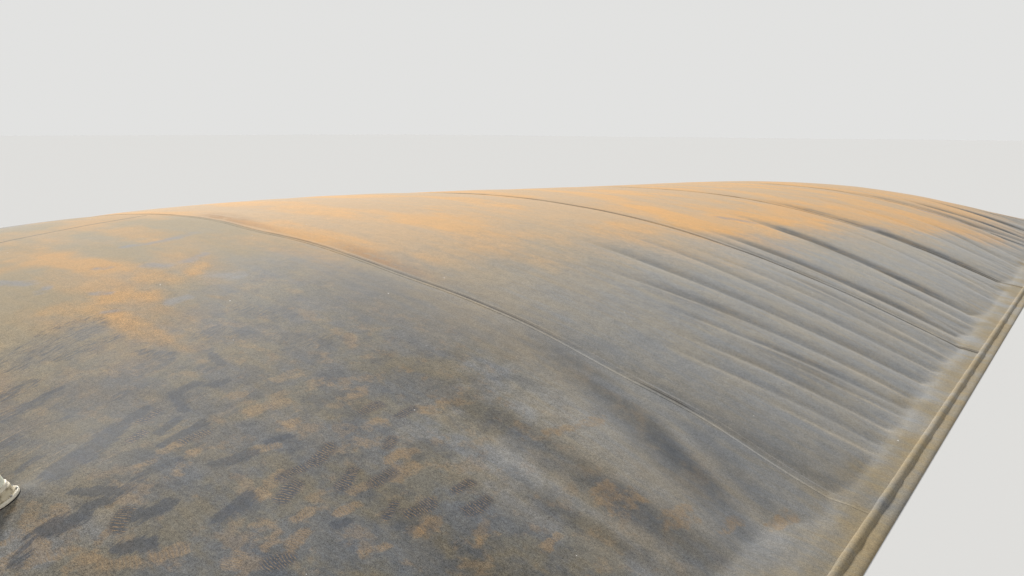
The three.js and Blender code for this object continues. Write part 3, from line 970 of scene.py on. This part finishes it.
WASHED_SHEET = (0.078, 0.086, 0.096)
BARE_SHEET = (0.064, 0.074, 0.092)
WORN_SHEET = (0.105, 0.100, 0.086)
GREY_FILM = (0.412, 0.396, 0.367)
TAN_FILM = (0.47, 0.385, 0.275)
OLIVE_DUST = (0.215, 0.178, 0.110)
BROWN_DUST = (0.34, 0.225, 0.115)
DULL_DUST = (0.360, 0.285, 0.178)
DULL_ORANGE = (0.58, 0.345, 0.145)
TAN_DUST = (0.585, 0.40, 0.228)
ORANGE_DUST = (0.76, 0.415, 0.140)
RUST_DUST = (0.38, 0.205, 0.085)
SLATE_SHEET = (0.245, 0.262, 0.300)
CAUGHT_DUST = (0.50, 0.455, 0.385)
SANDY_SOIL = (0.30, 0.235, 0.128)
STONE_WHITE = (0.85, 0.83, 0.78)
TRACK_BLACK = (0.055, 0.047, 0.042)
COOL_TINT = (0.944, 0.987, 1.046)
WARM_TINT = (1.062, 1.005, 0.895)
EVEN_TINT = (1.0, 0.995, 0.975)
GALVANISED = (0.52, 0.52, 0.50)
BOLT_RUST = (0.30, 0.14, 0.06)
RUBBER_BLACK = (0.018, 0.018, 0.019)
RUBBER_DUST = (0.16, 0.12, 0.08)
FLOOR_GREY = (0.68, 0.68, 0.67)
MEMBRANE_GLOSS = {
    "Specular IOR Level": 0.25,
    "Sheen Weight": 0.12,
    "Sheen Roughness": 0.45,
    "Sheen Tint": (1.0, 0.94, 0.85, 1.0),
}
DRAG_TURN = math.radians(106)  # which way things were dragged, from +X
TREAD_PITCH = 0.021
SCRATCH_WIDTH = 0.028
GRIT_SIZE = 0.008
GRIT_SCALE = 1.1  # cells for each metre, of which some have a speck of grit

# Patches in trodden and in dragged dust, of much the same lightness as the film under them:
# (noise: scale, detail, roughness, seed), (step: from, to), share, colour
TRODDEN_PATCHES = [
    ((1.9, 7.0, 0.60, 8.1), (0.42, 0.58), 0.60, OLIVE_DUST),
    ((3.4, 8.0, 0.68, 3.7), (0.50, 0.62), 0.42, BARE_SHEET),
    ((5.0, 7.0, 0.62, 5.3), (0.53, 0.64), 0.34, BROWN_DUST),
]
DRAGGED_SMEARS = [
    (((2.4, 9.0, 1.0), 8.0, 0.64, 2.9), (0.52, 0.62), 0.24, BARE_SHEET),
    (((2.8, 12.0, 1.0), 8.0, 0.62, 6.6), (0.53, 0.64), 0.18, BROWN_DUST),
]


def membrane_material():
    """Black polyethylene under dust, by the amounts that are painted on the mesh."""
    s = material_shader("dusty_membrane")
    patches = s.noise(2.1, 6.0, 0.58)
    mottle = s.noise(9.0, 5.0, 0.60)
    grain = s.noise(46.0, 4.0, 0.70)
    fine = s.noise(170.0, 2.0, 0.60)
    streaks = s.noise((0.6, 5.0, 2.0), 4.0, 0.50)
    soft = s.noise((0.45, 1.2, 1.0), 3.0, 0.45, seed=1.3)
    uneven = s.total((patches, 0.45), (mottle, 0.30), (streaks, 0.25), offset=-0.50)
    along_drag = s.turned_place(DRAG_TURN)
    bristle = s.noise((9.0, 42.0, 1.0), 5.0, 0.62, seed=4.9, place=along_drag)

    def marked(name, ragged, noise, low, high):
        """Where a painted mark is, its edge made ragged by a noise."""
        edge = s.total((s.attribute(name), 1.0), (noise, ragged), offset=-0.5 * ragged)
        return s.step(edge, low, high)

    # The film on the sheet, with painted sheen and highlights in it; thin where rain runs down beside a
    # crease, where painted shade darkens it too
    washed = s.product(s.attribute("washed"), s.step(streaks, 0.30, 0.60, 0.50, 1.0))
    film = s.total((s.attribute("film"), 1.0), (uneven, 0.36), (washed, -0.64))
    film_colour = s.mix(s.attribute("warm"), GREY_FILM, TAN_FILM)
    s.colour = s.mix(s.step(film, -0.15, 1.0), WASHED_SHEET, film_colour)
    stained = s.step(s.total((patches, 0.5), (mottle, 0.5)), 0.46, 0.60)
    s.cover(BROWN_DUST, washed, stained, 0.30)
    # The pale line in a crease: dust, and a painted highlight
    s.cover(CAUGHT_DUST, s.attribute("caught"), s.step(streaks, 0.30, 0.60, 0.25, 0.75))

    trodden = s.attribute("trodden")
    dragged = s.attribute("dragged")
    disturbed = ((trodden, s.place, TRODDEN_PATCHES), (dragged, along_drag, DRAGGED_SMEARS))
    for area, place, patchwork in disturbed:
        for noise, edge, share, colour in patchwork:
            s.cover(colour, s.step(s.noise(*noise, place), *edge), area, share)

    # Loose dust from the crest down, duller on the trampled sheets
    crest_dust = s.attribute("orange")
    orange_patch = marked("orange_patch", 2.6, patches, -0.7, 1.0)
    loose = s.total((crest_dust, 1.0), (uneven, 0.65), (washed, -0.55), (orange_patch, 0.25))
    rich_patches = s.step(s.total((soft, 0.86), (patches, 0.14)), 0.43, 0.62)
    rich = s.total((rich_patches, 0.72), (orange_patch, 0.50))
    bright_dust = s.mix(rich, TAN_DUST, ORANGE_DUST)
    dull_dust = s.mix(rich, DULL_DUST, DULL_ORANGE)
    dust = s.mix(s.attribute("dull"), bright_dust, dull_dust)
    s.cover(dust, s.step(loose, 0.05, 0.95, 0.0, 0.96))
    rusty = s.step(s.total((streaks, 0.6), (mottle, 0.4)), 0.34, 0.54)
    s.cover(s.mix(rich, RUST_DUST, ORANGE_DUST), s.attribute("rust"), rusty, 0.85)
    # Painted shade beside the outlet
    s.cover(WORN_SHEET, s.attribute("worn"), 0.36)

    # Marks: washed patches, smears, and prints with the dust in lines between the cleats
    slate = marked("slate_patch", 3.0, s.total((mottle, 0.5), (patches, 0.5)), -0.2, 1.0)
    s.cover(SLATE_SHEET, slate, 0.62)
    phase = s.total((s.attribute("tread"), 2 * math.pi / TREAD_PITCH), (mottle, 14.0))
    cleats = s.step(s.math("SINE", phase), 0.15, 0.75)
    tan_print = marked("tan_print", 2.6, mottle, -0.1, 0.5)
    s.cover(BROWN_DUST, tan_print, s.total((cleats, 0.24), offset=0.38))
    s.cover(BARE_SHEET, marked("smear", 2.6, s.total((bristle, 0.8), (grain, 0.2)), -0.1, 0.45), 0.78)
    dark_print = marked("dark_print", 2.6, s.total((mottle, 0.5), (grain, 0.5)), -0.1, 0.5)
    s.cover(BARE_SHEET, dark_print, 0.88)
    s.cover(BROWN_DUST, dark_print, cleats, s.step(grain, 0.38, 0.52), 0.62)
    scratched = s.step(s.noise((2.5, 75.0, 1.0), 3.0, 0.5, place=along_drag), 0.61, 0.69)
    s.cover(TAN_DUST, scratched, dragged, s.step(patches, 0.48, 0.58), 0.22)

    soil = s.total((s.attribute("soil"), 1.0), (uneven, 1.2))
    s.cover(SANDY_SOIL, s.step(soil, 0.15, 0.85, 0.0, 0.85))

    # Faint cool and warm tints, fainter on the crest's dust, and a fine speckle
    threads = s.noise((1.1, 11.0, 3.0), 5.0, 0.58, seed=7.2)
    cloud = s.total((streaks, 0.28), (threads, 0.34), (patches, 0.33), (mottle, 0.05))
    tint = s.mix(s.step(cloud, 0.40, 0.60), COOL_TINT, WARM_TINT)
    s.multiply(s.mix(s.product(crest_dust, 0.60), tint, EVEN_TINT))
    speckle = s.total((grain, 0.52), (fine, 1.00), (mottle, 0.20), offset=-0.86)
    strength = s.total((trodden, 0.66), (crest_dust, -0.45), offset=0.90)
    s.multiply(s.mix(s.total((speckle, strength), offset=0.5), (0, 0, 0), (2, 2, 2)))

    # Grit: a pale speck in some cells of a grid
    inputs = {"Vector": s.place, "Scale": GRIT_SCALE}
    cells = s.node("ShaderNodeTexVoronoi", inputs, voronoi_dimensions="2D", feature="F1")
    chance = s.node("ShaderNodeSeparateColor", {0: cells.outputs["Color"]}).outputs[0]
    size = s.step(chance, 0.60, 1.0, 0.0, GRIT_SIZE)
    s.cover(STONE_WHITE, s.math("LESS_THAN", cells.outputs["Distance"], size))

    # Dark lines: the bared tracks of the welds with painted shadow of the flaps' steps, and a long
    # scratch
    uncovered = s.step(s.noise(0.9, 3.0, seed=4.4), 0.42, 0.56, 0.50, 0.95)
    s.cover(TRACK_BLACK, s.attribute("track"), uncovered)
    off_scratch = s.total((s.attribute("scratch"), 1.0), (mottle, 0.03), offset=-0.015)
    off_scratch = s.math("ABSOLUTE", off_scratch)
    s.cover(TRACK_BLACK, s.step(off_scratch, SCRATCH_WIDTH, 0.3 * SCRATCH_WIDTH, 0.0, 0.85))

    dusty = s.step(s.total((film, 0.5), (loose, 1.0)), 0.1, 1.2)
    roughness = s.total((dusty, 0.18), (trodden, 0.025), offset=0.75)
    height = s.total((patches, 0.6), (mottle, 0.3), (grain, 0.12))
    return s.finish(roughness, s.bump(height, 0.010, 0.30), MEMBRANE_GLOSS)


def plastic_material(name, colour, stain, stain_amount, roughness):
    """Moulded plastic, with blotches of stain and a fine grain."""
    s = material_shader(name, colour)
    grain = s.noise(150.0, 3.0)
    blotches = s.noise(16.0, 6.0, 0.6)
    dirty = s.step(blotches, 0.62 - stain_amount * 0.35, 0.80 - stain_amount * 0.25)
    s.cover(stain, dirty)
    s.cover(stain, s.step(grain, 0.55, 0.75, 0.0, 0.25))
    return s.finish(s.total((dirty, 0.35), offset=roughness), s.bump(grain, 0.0004, 0.4))


def steel_material():
    """Dull galvanised steel with rust in its pits."""
    s = material_shader("bolt_steel", GALVANISED)
    pits = s.noise(90.0, 5.0, 0.65)
    s.cover(BOLT_RUST, s.step(pits, 0.52, 0.66))
    return s.finish(s.step(pits, 0.4, 0.7, 0.35, 0.8), s.bump(pits, 0.0005, 0.5), {"Metallic": 0.75})


def rubber_material():
    """Black sheet rubber with dust on it."""
    s = material_shader("gasket_rubber", RUBBER_BLACK)
    s.cover(RUBBER_DUST, s.step(s.noise(60.0, 4.0), 0.5, 0.75))
    return s.finish(0.8)


# Plastics: colour, stain, how much of it, roughness
PLASTICS = {
    "white_pipe": ((0.91, 0.91, 0.75), (0.42, 0.34, 0.22), 0.12, 0.42),
    "cream_plastic": ((0.86, 0.79, 0.64), (0.33, 0.25, 0.15), 0.30, 0.38),
    "weathered_plastic": ((0.66, 0.58, 0.41), (0.21, 0.16, 0.09), 0.60, 0.50),
}
MEMBRANE = membrane_material()
PLASTIC = {name: plastic_material(name, *look) for name, look in PLASTICS.items()}
RUBBER = rubber_material()
STEEL = steel_material()


# The cover


def membrane_piece(name, x, y, z, slot, *nodes, bore=None, track=0.0, pale=0.0, round_columns=False):
    """A piece of dusty sheet through a grid of points, in the place of some of the part's nodes."""
    mesh = grid_mesh(name, np.stack([x, y, z], axis=-1), round_columns, bore)
    paint_dust(mesh, x, y, track, pale)
    piece = add_object(name, mesh, MEMBRANE)
    register(piece, slot, *nodes)
    return piece


# Columns across the cover: (from, to, step), finest on the flank that shows its creases most
COLUMN_RUNS = [
    (-9.25, -8.6, 0.06),
    (-8.6, -2.0, 0.13),
    (-2.0, 3.0, 0.11),
    (3.0, 8.5, 0.043),
    (8.5, 9.25, 0.035),
]
# Rows along each sheet, near end first
SHEET_ROWS = [95, 335, 335, 280, 215, 215, 90]
HOLE_RADIUS = 0.10  # of the opening in the sheet under the outlet


def columns_across():
    runs = [np.linspace(a, b, round((b - a) / step) + 1) for a, b, step in COLUMN_RUNS]
    return np.unique(np.round(np.concatenate(runs), 6))


COLUMNS = columns_across()


def sheet_piece(index):
    """One sheet, from seam to seam. Its rows follow the seams' wander."""
    start = seam_line(index - 1, COLUMNS) if index > 0 else np.full_like(COLUMNS, -COVER_Y)
    end = seam_line(index, COLUMNS) if index < len(SEAMS) else np.full_like(COLUMNS, COVER_Y)
    share = np.linspace(0, 1, SHEET_ROWS[index])[:, None]
    y = start * (1 - share) + end * share
    x = np.broadcast_to(COLUMNS, y.shape)
    z = cover_surface(x, y)
    name = f"sheet_{index + 1}"
    nodes = [f"cover_{name}_{side}" for side in ("left", "right")]
    bore = (OUTLET_BASE.x, OUTLET_BASE.y, HOLE_RADIUS)
    piece = membrane_piece(name, x, y, z, "dusty_membrane", *nodes, bore=bore)


# An overlap weld, as (distance across, height, how much of it is dark line: bare track and painted
# shadow, how much is pale edge: dust and painted highlight)
FLAP_PROFILE = [
    (-0.064, -0.006, 0, 1),
    (-0.0635, 0.0008, 0, 1),
    (-0.05, 0.0022, 0, 1),
    (-0.04, 0.003, 0, 1),
    (-0.03, 0.003, 0, 0.3),
    (-0.007, 0.003, 0.3, 0),
    (-0.003, 0.0066, 1, 0),
    (0.002, 0.0066, 1, 0),
    (0.005, 0.003, 0.8, 0),
    (0.008, 0.003, 0, 0),
    (0.024, 0.003, 0, 0),
    (0.027, 0.004, 0.7, 0),
    (0.031, 0.004, 0.7, 0),
    (0.034, 0.003, 0, 0),
    (0.055, 0.0025, 0, 0),
    (0.0615, 0.001, 0, 0),
    (0.064, -0.006, 0, 0),
]
# The same for the seams further off, whose edges are painted less pale
FAR_FLAP_PROFILE = [
    (-0.066, -0.006, 0, 0),
    (-0.065, 0.003, 0.3, 0),
    (-0.048, 0.003, 0.2, 0.2),
    (-0.042, 0.0075, 1, 0),
    (-0.03, 0.0075, 1, 0),
    (-0.024, 0.003, 0.4, 0.3),
    (0.02, 0.003, 0.1, 0.4),
    (0.026, 0.0065, 0.9, 0),
    (0.036, 0.0065, 0.9, 0),
    (0.042, 0.003, 0.4, 0),
    (0.062, 0.003, 0.1, 0),
    (0.066, -0.006, 0, 0),
]
PALE_EDGE = 0.45  # film gained on a flap's pale edge: dust and a painted highlight
UNEVEN_FLAP = 0.35  # how much a flap's thickness varies
HIDDEN_FLAP = 0.15  # share of its thickness where it doesn't show


def flap_piece(index):
    """The overlap at one seam: a free edge, and the two tracks of a hot-wedge weld."""
    profile = FLAP_PROFILE if index == BENT_SEAM else FAR_FLAP_PROFILE
    across, height, track, edge = np.array(profile).T[:, :, None]
    dark, pale = seam_shows(index, COLUMNS)
    uneven = 1 + UNEVEN_FLAP * line_noise(COLUMNS, index, 0.30, 2, 131)
    thickness = uneven * (HIDDEN_FLAP + (1 - HIDDEN_FLAP) * dark)
    y = seam_line(index, COLUMNS) + across
    x = np.broadcast_to(COLUMNS, y.shape)
    z = cover_surface(x, y) + np.where(height > 0, height * thickness, height)
    name, node = f"seam_{index + 1}", f"weld_flap_{index + 1}"
    # The pale edge is dust and a painted highlight; the dark lines are bare track and painted shadow
    pale_edge = PALE_EDGE * edge * pale
    membrane_piece(name, x, y, z, "weld_membrane", node, track=track * dark, pale=pale_edge)


# The edge

# Profiles of the strips along each edge: distance outward from the cover's edge, and height
BEAD_PROFILE = [
    (-0.05, -0.012),
    (-0.035, 0.012),
    (-0.015, 0.024),
    (0.008, 0.024),
    (0.028, 0.012),
    (0.042, -0.004),
]
LINER_PROFILE = [
    (-MARGIN - LINER_INNER, 0.0),
    (-MARGIN - LINER_INNER, -0.004),
    (0.0, -0.004),
    (0.06, -0.003),
    (0.10, -0.005),
    (0.135, -0.009),
    (LINER_BEYOND - 0.004, -0.018),
    (LINER_BEYOND - 0.002, -0.02),
]
BEAD_OVERLAP = 0.03  # the long sides' beads run on over the ends'
BEAD_LUMPS = 0.008
LINER_LUMPS = 0.002
EDGE_STEP = 0.06


def edge_points(side, along):
    """Points (x, y) at the middle of the edge weld on one side, with the outward direction."""
    if side in ("left", "right"):
        sign = 1 if side == "right" else -1
        return np.full_like(along, sign * COVER_X), along, sign, 0
    sign = 1 if side == "far" else -1
    return along, np.full_like(along, sign * COVER_Y), 0, sign


def strip_piece(name, side, profile, half, lumps, seed, node, slot):
    """A strip along one edge. half is half its length."""
    along = np.linspace(-half, half, round(2 * half / EDGE_STEP) + 1)
    x0, y0, out_x, out_y = edge_points(side, along)
    outward, height = np.array(profile).T[:, :, None]
    x = x0 + out_x * outward
    y = y0 + out_y * outward
    rough = fractal(x, y, 0.16, 3, seed)
    z = LINER_TOP + height + np.where(height > 0, lumps * rough, 0)
    if out_x < 0 or out_y > 0:
        x, y, z = x[::-1], y[::-1], z[::-1]
    membrane_piece(f"{name}_{side}", x, y, z, slot, f"{node}_{side}")


def build_edge():
    """The weld and the liner's edge along all four sides."""
    for side in ("left", "right", "near", "far"):
        long_side = side in ("left", "right")
        half = COVER_Y + BEAD_OVERLAP if long_side else COVER_X
        strip_piece("edge_weld", side, BEAD_PROFILE, half, BEAD_LUMPS, 141, "edge_bead", "weld_membrane")
        half = (COVER_Y if long_side else COVER_X) + LINER_BEYOND
        strip_piece("liner_strip", side, LINER_PROFILE, half, LINER_LUMPS, 151, "liner", "liner")


# The gas outlet


def outlet_matrix():
    """Its origin is at the gasket's underside, and its Z is the lean."""
    turn = Vector((0, 0, 1)).rotation_difference(OUTLET_LEAN).to_matrix().to_4x4()
    return Matrix.Translation(OUTLET_BASE) @ turn


OUTLET = outlet_matrix()
ROUND_STEPS = 96
ROUND_ANGLES = np.arange(ROUND_STEPS) * 2 * math.pi / ROUND_STEPS
# Heights along the outlet's axis
GASKET_TOP = 0.005
FLANGE_TOP = 0.0253
HUB_HEIGHT = 0.0523
HUB_TOP = FLANGE_TOP + HUB_HEIGHT
COLLAR_HEIGHT = 0.0243
COLLAR_TOP = HUB_TOP + COLLAR_HEIGHT
PIPE_TOP = 0.4622
COUPLING_FOOT = 0.3975
JOINT_GAP = 0.0003  # between two parts on the axis

# Outlines of turned parts: (radius, height over the part's foot)
HUB_OUTLINE = [
    (BORE_RADIUS, JOINT_GAP),
    (0.0955, JOINT_GAP),
    (0.0950, 0.004),
    (0.0925, 0.008),
    (0.0910, 0.018),
    (0.0900, 0.034),
    (0.0920, 0.038),
    (0.0920, 0.0483),
    (0.0900, HUB_HEIGHT),
    (BORE_RADIUS, HUB_HEIGHT),
]
COLLAR_OUTLINE = [
    (BORE_RADIUS, JOINT_GAP),
    (0.0880, JOINT_GAP),
    (0.0885, 0.005),
    (0.0850, 0.007),
    (0.0850, 0.010),
    (0.0880, 0.012),
    (0.0880, 0.016),
    (0.0845, 0.018),
    (0.0845, 0.020),
    (0.0860, 0.021),
    (0.0850, COLLAR_HEIGHT),
    (BORE_RADIUS, COLLAR_HEIGHT),
]
COUPLING_OUTLINE = [
    (PIPE_RADIUS + JOINT_GAP, 0),
    (0.0870, 0),
    (0.0905, 0.003),
    (0.0910, 0.010),
    (0.0890, 0.013),
    (0.0885, 0.100),
    (0.0910, 0.106),
    (0.0910, 0.127),
    (0.0885, 0.130),
    (0.0830, 0.130),
    (0.0805, 0.126),
]


def rounded_ring(inner, outer, low, high, edge):
    """Outline of a ring with its outer edges rounded."""
    turns = np.linspace(0, math.pi / 2, 5)
    lower = [(outer - edge + edge * math.sin(t), low + edge - edge * math.cos(t)) for t in turns]
    upper = [(outer - edge + edge * math.cos(t), high - edge + edge * math.sin(t)) for t in turns]
    return [(inner, low), *lower, *upper, (inner + 0.002, high), (inner, high - 0.002)]


def raised(outline, foot):
    return [(radius, foot + height) for radius, height in outline]


def circles(outline):
    """Circles round the outlet's axis, one for each (radius, height)."""
    radius, height = np.array(outline).T[:, :, None]
    x, y = radius * np.cos(ROUND_ANGLES), radius * np.sin(ROUND_ANGLES)
    matrix = np.array(OUTLET)
    local = np.stack([x, y, np.broadcast_to(height, x.shape)], axis=-1)
    return local @ matrix[:3, :3].T + matrix[:3, 3]


def turned_piece(name, outline, slot):
    """A closed turned part of plastic on the outlet's axis."""
    mesh = grid_mesh(name, circles(outline + outline[:1]), round_columns=True)
    piece = add_object(name, mesh, PLASTIC[slot])
    weld = piece.modifiers.new("close", "WELD")
    weld.merge_threshold = 1e-5
    register(piece, slot, f"outlet_{name}")


BOLTS = 8
BOLT_CIRCLE = 0.105
# A washer, a bolt's head and the stud's end: radius, sides, (heights over the flange), chamfer
BOLT_PARTS = [
    (0.0086, 20, (-0.0005, 0.0015), 0.0004),
    (0.0072, 6, (0.0015, 0.0075), 0.001),
    (0.004, 12, (0.0075, 0.0085), 0.0006),
]


def bolts_piece():
    """Bolt heads on their washers, with the studs' ends, in one mesh."""
    points, faces = [], []

    def prism(centre, radius, sides, low, high, chamfer):
        start = len(points)
        for r, z in ((radius, low), (radius, high - chamfer), (radius - chamfer, high)):
            for k in range(sides):
                a = 2 * math.pi * k / sides
                local = Vector((centre.x + r * math.cos(a), centre.y + r * math.sin(a), z))
                points.append(tuple(OUTLET @ local))
        for level in range(2):
            for k in range(sides):
                a, b = start + level * sides + k, start + level * sides + (k + 1) % sides
                faces.append((a, b, b + sides, a + sides))
        faces.append(tuple(start + 2 * sides + k for k in range(sides)))
        faces.append(tuple(start + k for k in reversed(range(sides))))

    for i in range(BOLTS):
        angle = (i + 0.5) / BOLTS * 2 * math.pi
        centre = Vector((BOLT_CIRCLE * math.cos(angle), BOLT_CIRCLE * math.sin(angle), 0))
        for radius, sides, (low, high), chamfer in BOLT_PARTS:
            prism(centre, radius, sides, FLANGE_TOP + low, FLANGE_TOP + high, chamfer)
    mesh = bpy.data.meshes.new("flange_bolts")
    mesh.from_pydata(points, [], faces)
    piece = add_object("flange_bolts", mesh, STEEL)
    mesh.shade_flat()
    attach(piece, "root")


BOOT_SPREAD = 0.20  # how far out the boot's sheet runs from the flange
BOOT_ROWS = 16
BOOT_LIP = 0.0012
BOOT_GAP = 0.0006  # between the boot and the gasket


def boot_piece():
    """The welded boot: a round sheet on the lifted cover, up against the flange.

    Its outer edge ends just under the cover.
    """
    radii = (BORE_RADIUS, (BORE_RADIUS + BOOT_TOP_RADIUS) / 2, BOOT_TOP_RADIUS)
    rows = [*circles([(radius, -BOOT_GAP) for radius in radii])]
    rim = rows[-1][:, :2]
    outward = rim - np.array(OUTLET_BASE)[:2]
    outward /= np.linalg.norm(outward, axis=1)[:, None]
    for share in np.linspace(0, 1, BOOT_ROWS)[1:]:
        xy = rim + outward * BOOT_SPREAD * share
        lip = -BOOT_LIP if share == 1 else BOOT_LIP * (1 - share**4)
        rows.append(np.column_stack([xy, cover_surface(*xy.T) + lip]))
    x, y, z = np.moveaxis(rows[::-1], -1, 0)
    membrane_piece("boot", x, y, z, "weld_membrane", "outlet_boot", round_columns=True)


def build_outlet():
    """The boot, the flange with its bolts, and what stands on it."""
    boot_piece()
    flange = rounded_ring(BORE_RADIUS, FLANGE_RADIUS, GASKET_TOP + JOINT_GAP, FLANGE_TOP, 0.004)
    turned_piece("flange", flange, "cream_plastic")
    bolts_piece()
    turned_piece("hub", raised(HUB_OUTLINE, FLANGE_TOP), "weathered_plastic")
    turned_piece("collar", raised(COLLAR_OUTLINE, HUB_TOP), "cream_plastic")
    pipe = rounded_ring(BORE_RADIUS, PIPE_RADIUS, COLLAR_TOP + JOINT_GAP, PIPE_TOP, 0.001)
    turned_piece("pipe", pipe, "white_pipe")
    turned_piece("coupling", raised(COUPLING_OUTLINE, COUPLING_FOOT), "white_pipe")
    # These two stay the part's own solids
    kept = {"outlet_gasket": RUBBER, "outlet_backing_ring": PLASTIC["weathered_plastic"]}
    for node, material in kept.items():
        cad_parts[node].material_slots[0].material = material


# The studio


def add_camera():
    """The camera of the photo."""
    ahead = Vector((-math.sin(CAMERA_YAW), math.cos(CAMERA_YAW), 0))
    right = Vector((math.cos(CAMERA_YAW), math.sin(CAMERA_YAW), 0))
    look = ahead * math.cos(CAMERA_PITCH) - Vector((0, 0, 1)) * math.sin(CAMERA_PITCH)
    up = right.cross(look)
    rolled_right = right * math.cos(CAMERA_ROLL) + up * math.sin(CAMERA_ROLL)
    rolled_up = up * math.cos(CAMERA_ROLL) - right * math.sin(CAMERA_ROLL)
    data = bpy.data.cameras.new("camera")
    data.sensor_width = SENSOR
    data.lens = SENSOR * FOCAL_PIXELS / FRAME_PIXELS
    data.clip_start = 0.1
    data.clip_end = 600
    camera = bpy.data.objects.new("camera", data)
    axes = Matrix((rolled_right, rolled_up, -look)).transposed()
    camera.matrix_world = Matrix.Translation(CAMERA_PLACE) @ axes.to_4x4()
    bpy.context.collection.objects.link(camera)
    bpy.context.scene.camera = camera


SUN_FROM = Vector((-0.78, 0.42, 0.46))
HORIZON_LIGHT = (0.76, 0.76, 0.75)
ZENITH_LIGHT = (0.44, 0.45, 0.47)
HORIZON_TO_ZENITH = (0.12, 0.50)  # heights in the sky between which the light dims
FLOOR_HALF = 300.0


def add_world():
    """Light all round, brightest near the horizon."""
    s = Shader(bpy.data.worlds.new("studio"))
    up = s.node("ShaderNodeSeparateXYZ", {0: s.coordinates["Generated"]}).outputs["Z"]
    light = s.mix(s.step(up, *HORIZON_TO_ZENITH), HORIZON_LIGHT, ZENITH_LIGHT)
    s.put(s.tree.nodes["Background"].inputs[0], light)
    bpy.context.scene.world = s.owner


def add_studio():
    """A low sun from the far left, light all round and a pale floor."""
    bpy.context.scene.view_settings.view_transform = "Standard"
    sun = bpy.data.lights.new("key", "SUN")
    sun.energy = 4.2
    sun.angle = math.radians(9)
    sun.color = (1.0, 0.97, 0.92)
    key = bpy.data.objects.new("key", sun)
    key.rotation_euler = SUN_FROM.to_track_quat("Z", "Y").to_euler()
    bpy.context.collection.objects.link(key)
    add_world()
    corners = [(x * FLOOR_HALF, y * FLOOR_HALF, 0) for x, y in ((-1, -1), (1, -1), (1, 1), (-1, 1))]
    mesh = bpy.data.meshes.new("floor")
    mesh.from_pydata(corners, [], [(0, 1, 2, 3)])
    floor = material_shader("pale_floor", FLOOR_GREY)
    material = floor.finish(0.9, constants={"Specular IOR Level": 0.0})
    add_object("floor", mesh, material)


add_camera()
add_studio()
for sheet_index in range(len(SEAMS) + 1):
    sheet_piece(sheet_index)
for seam_index in range(len(SEAMS)):
    flap_piece(seam_index)
build_edge()
build_outlet()
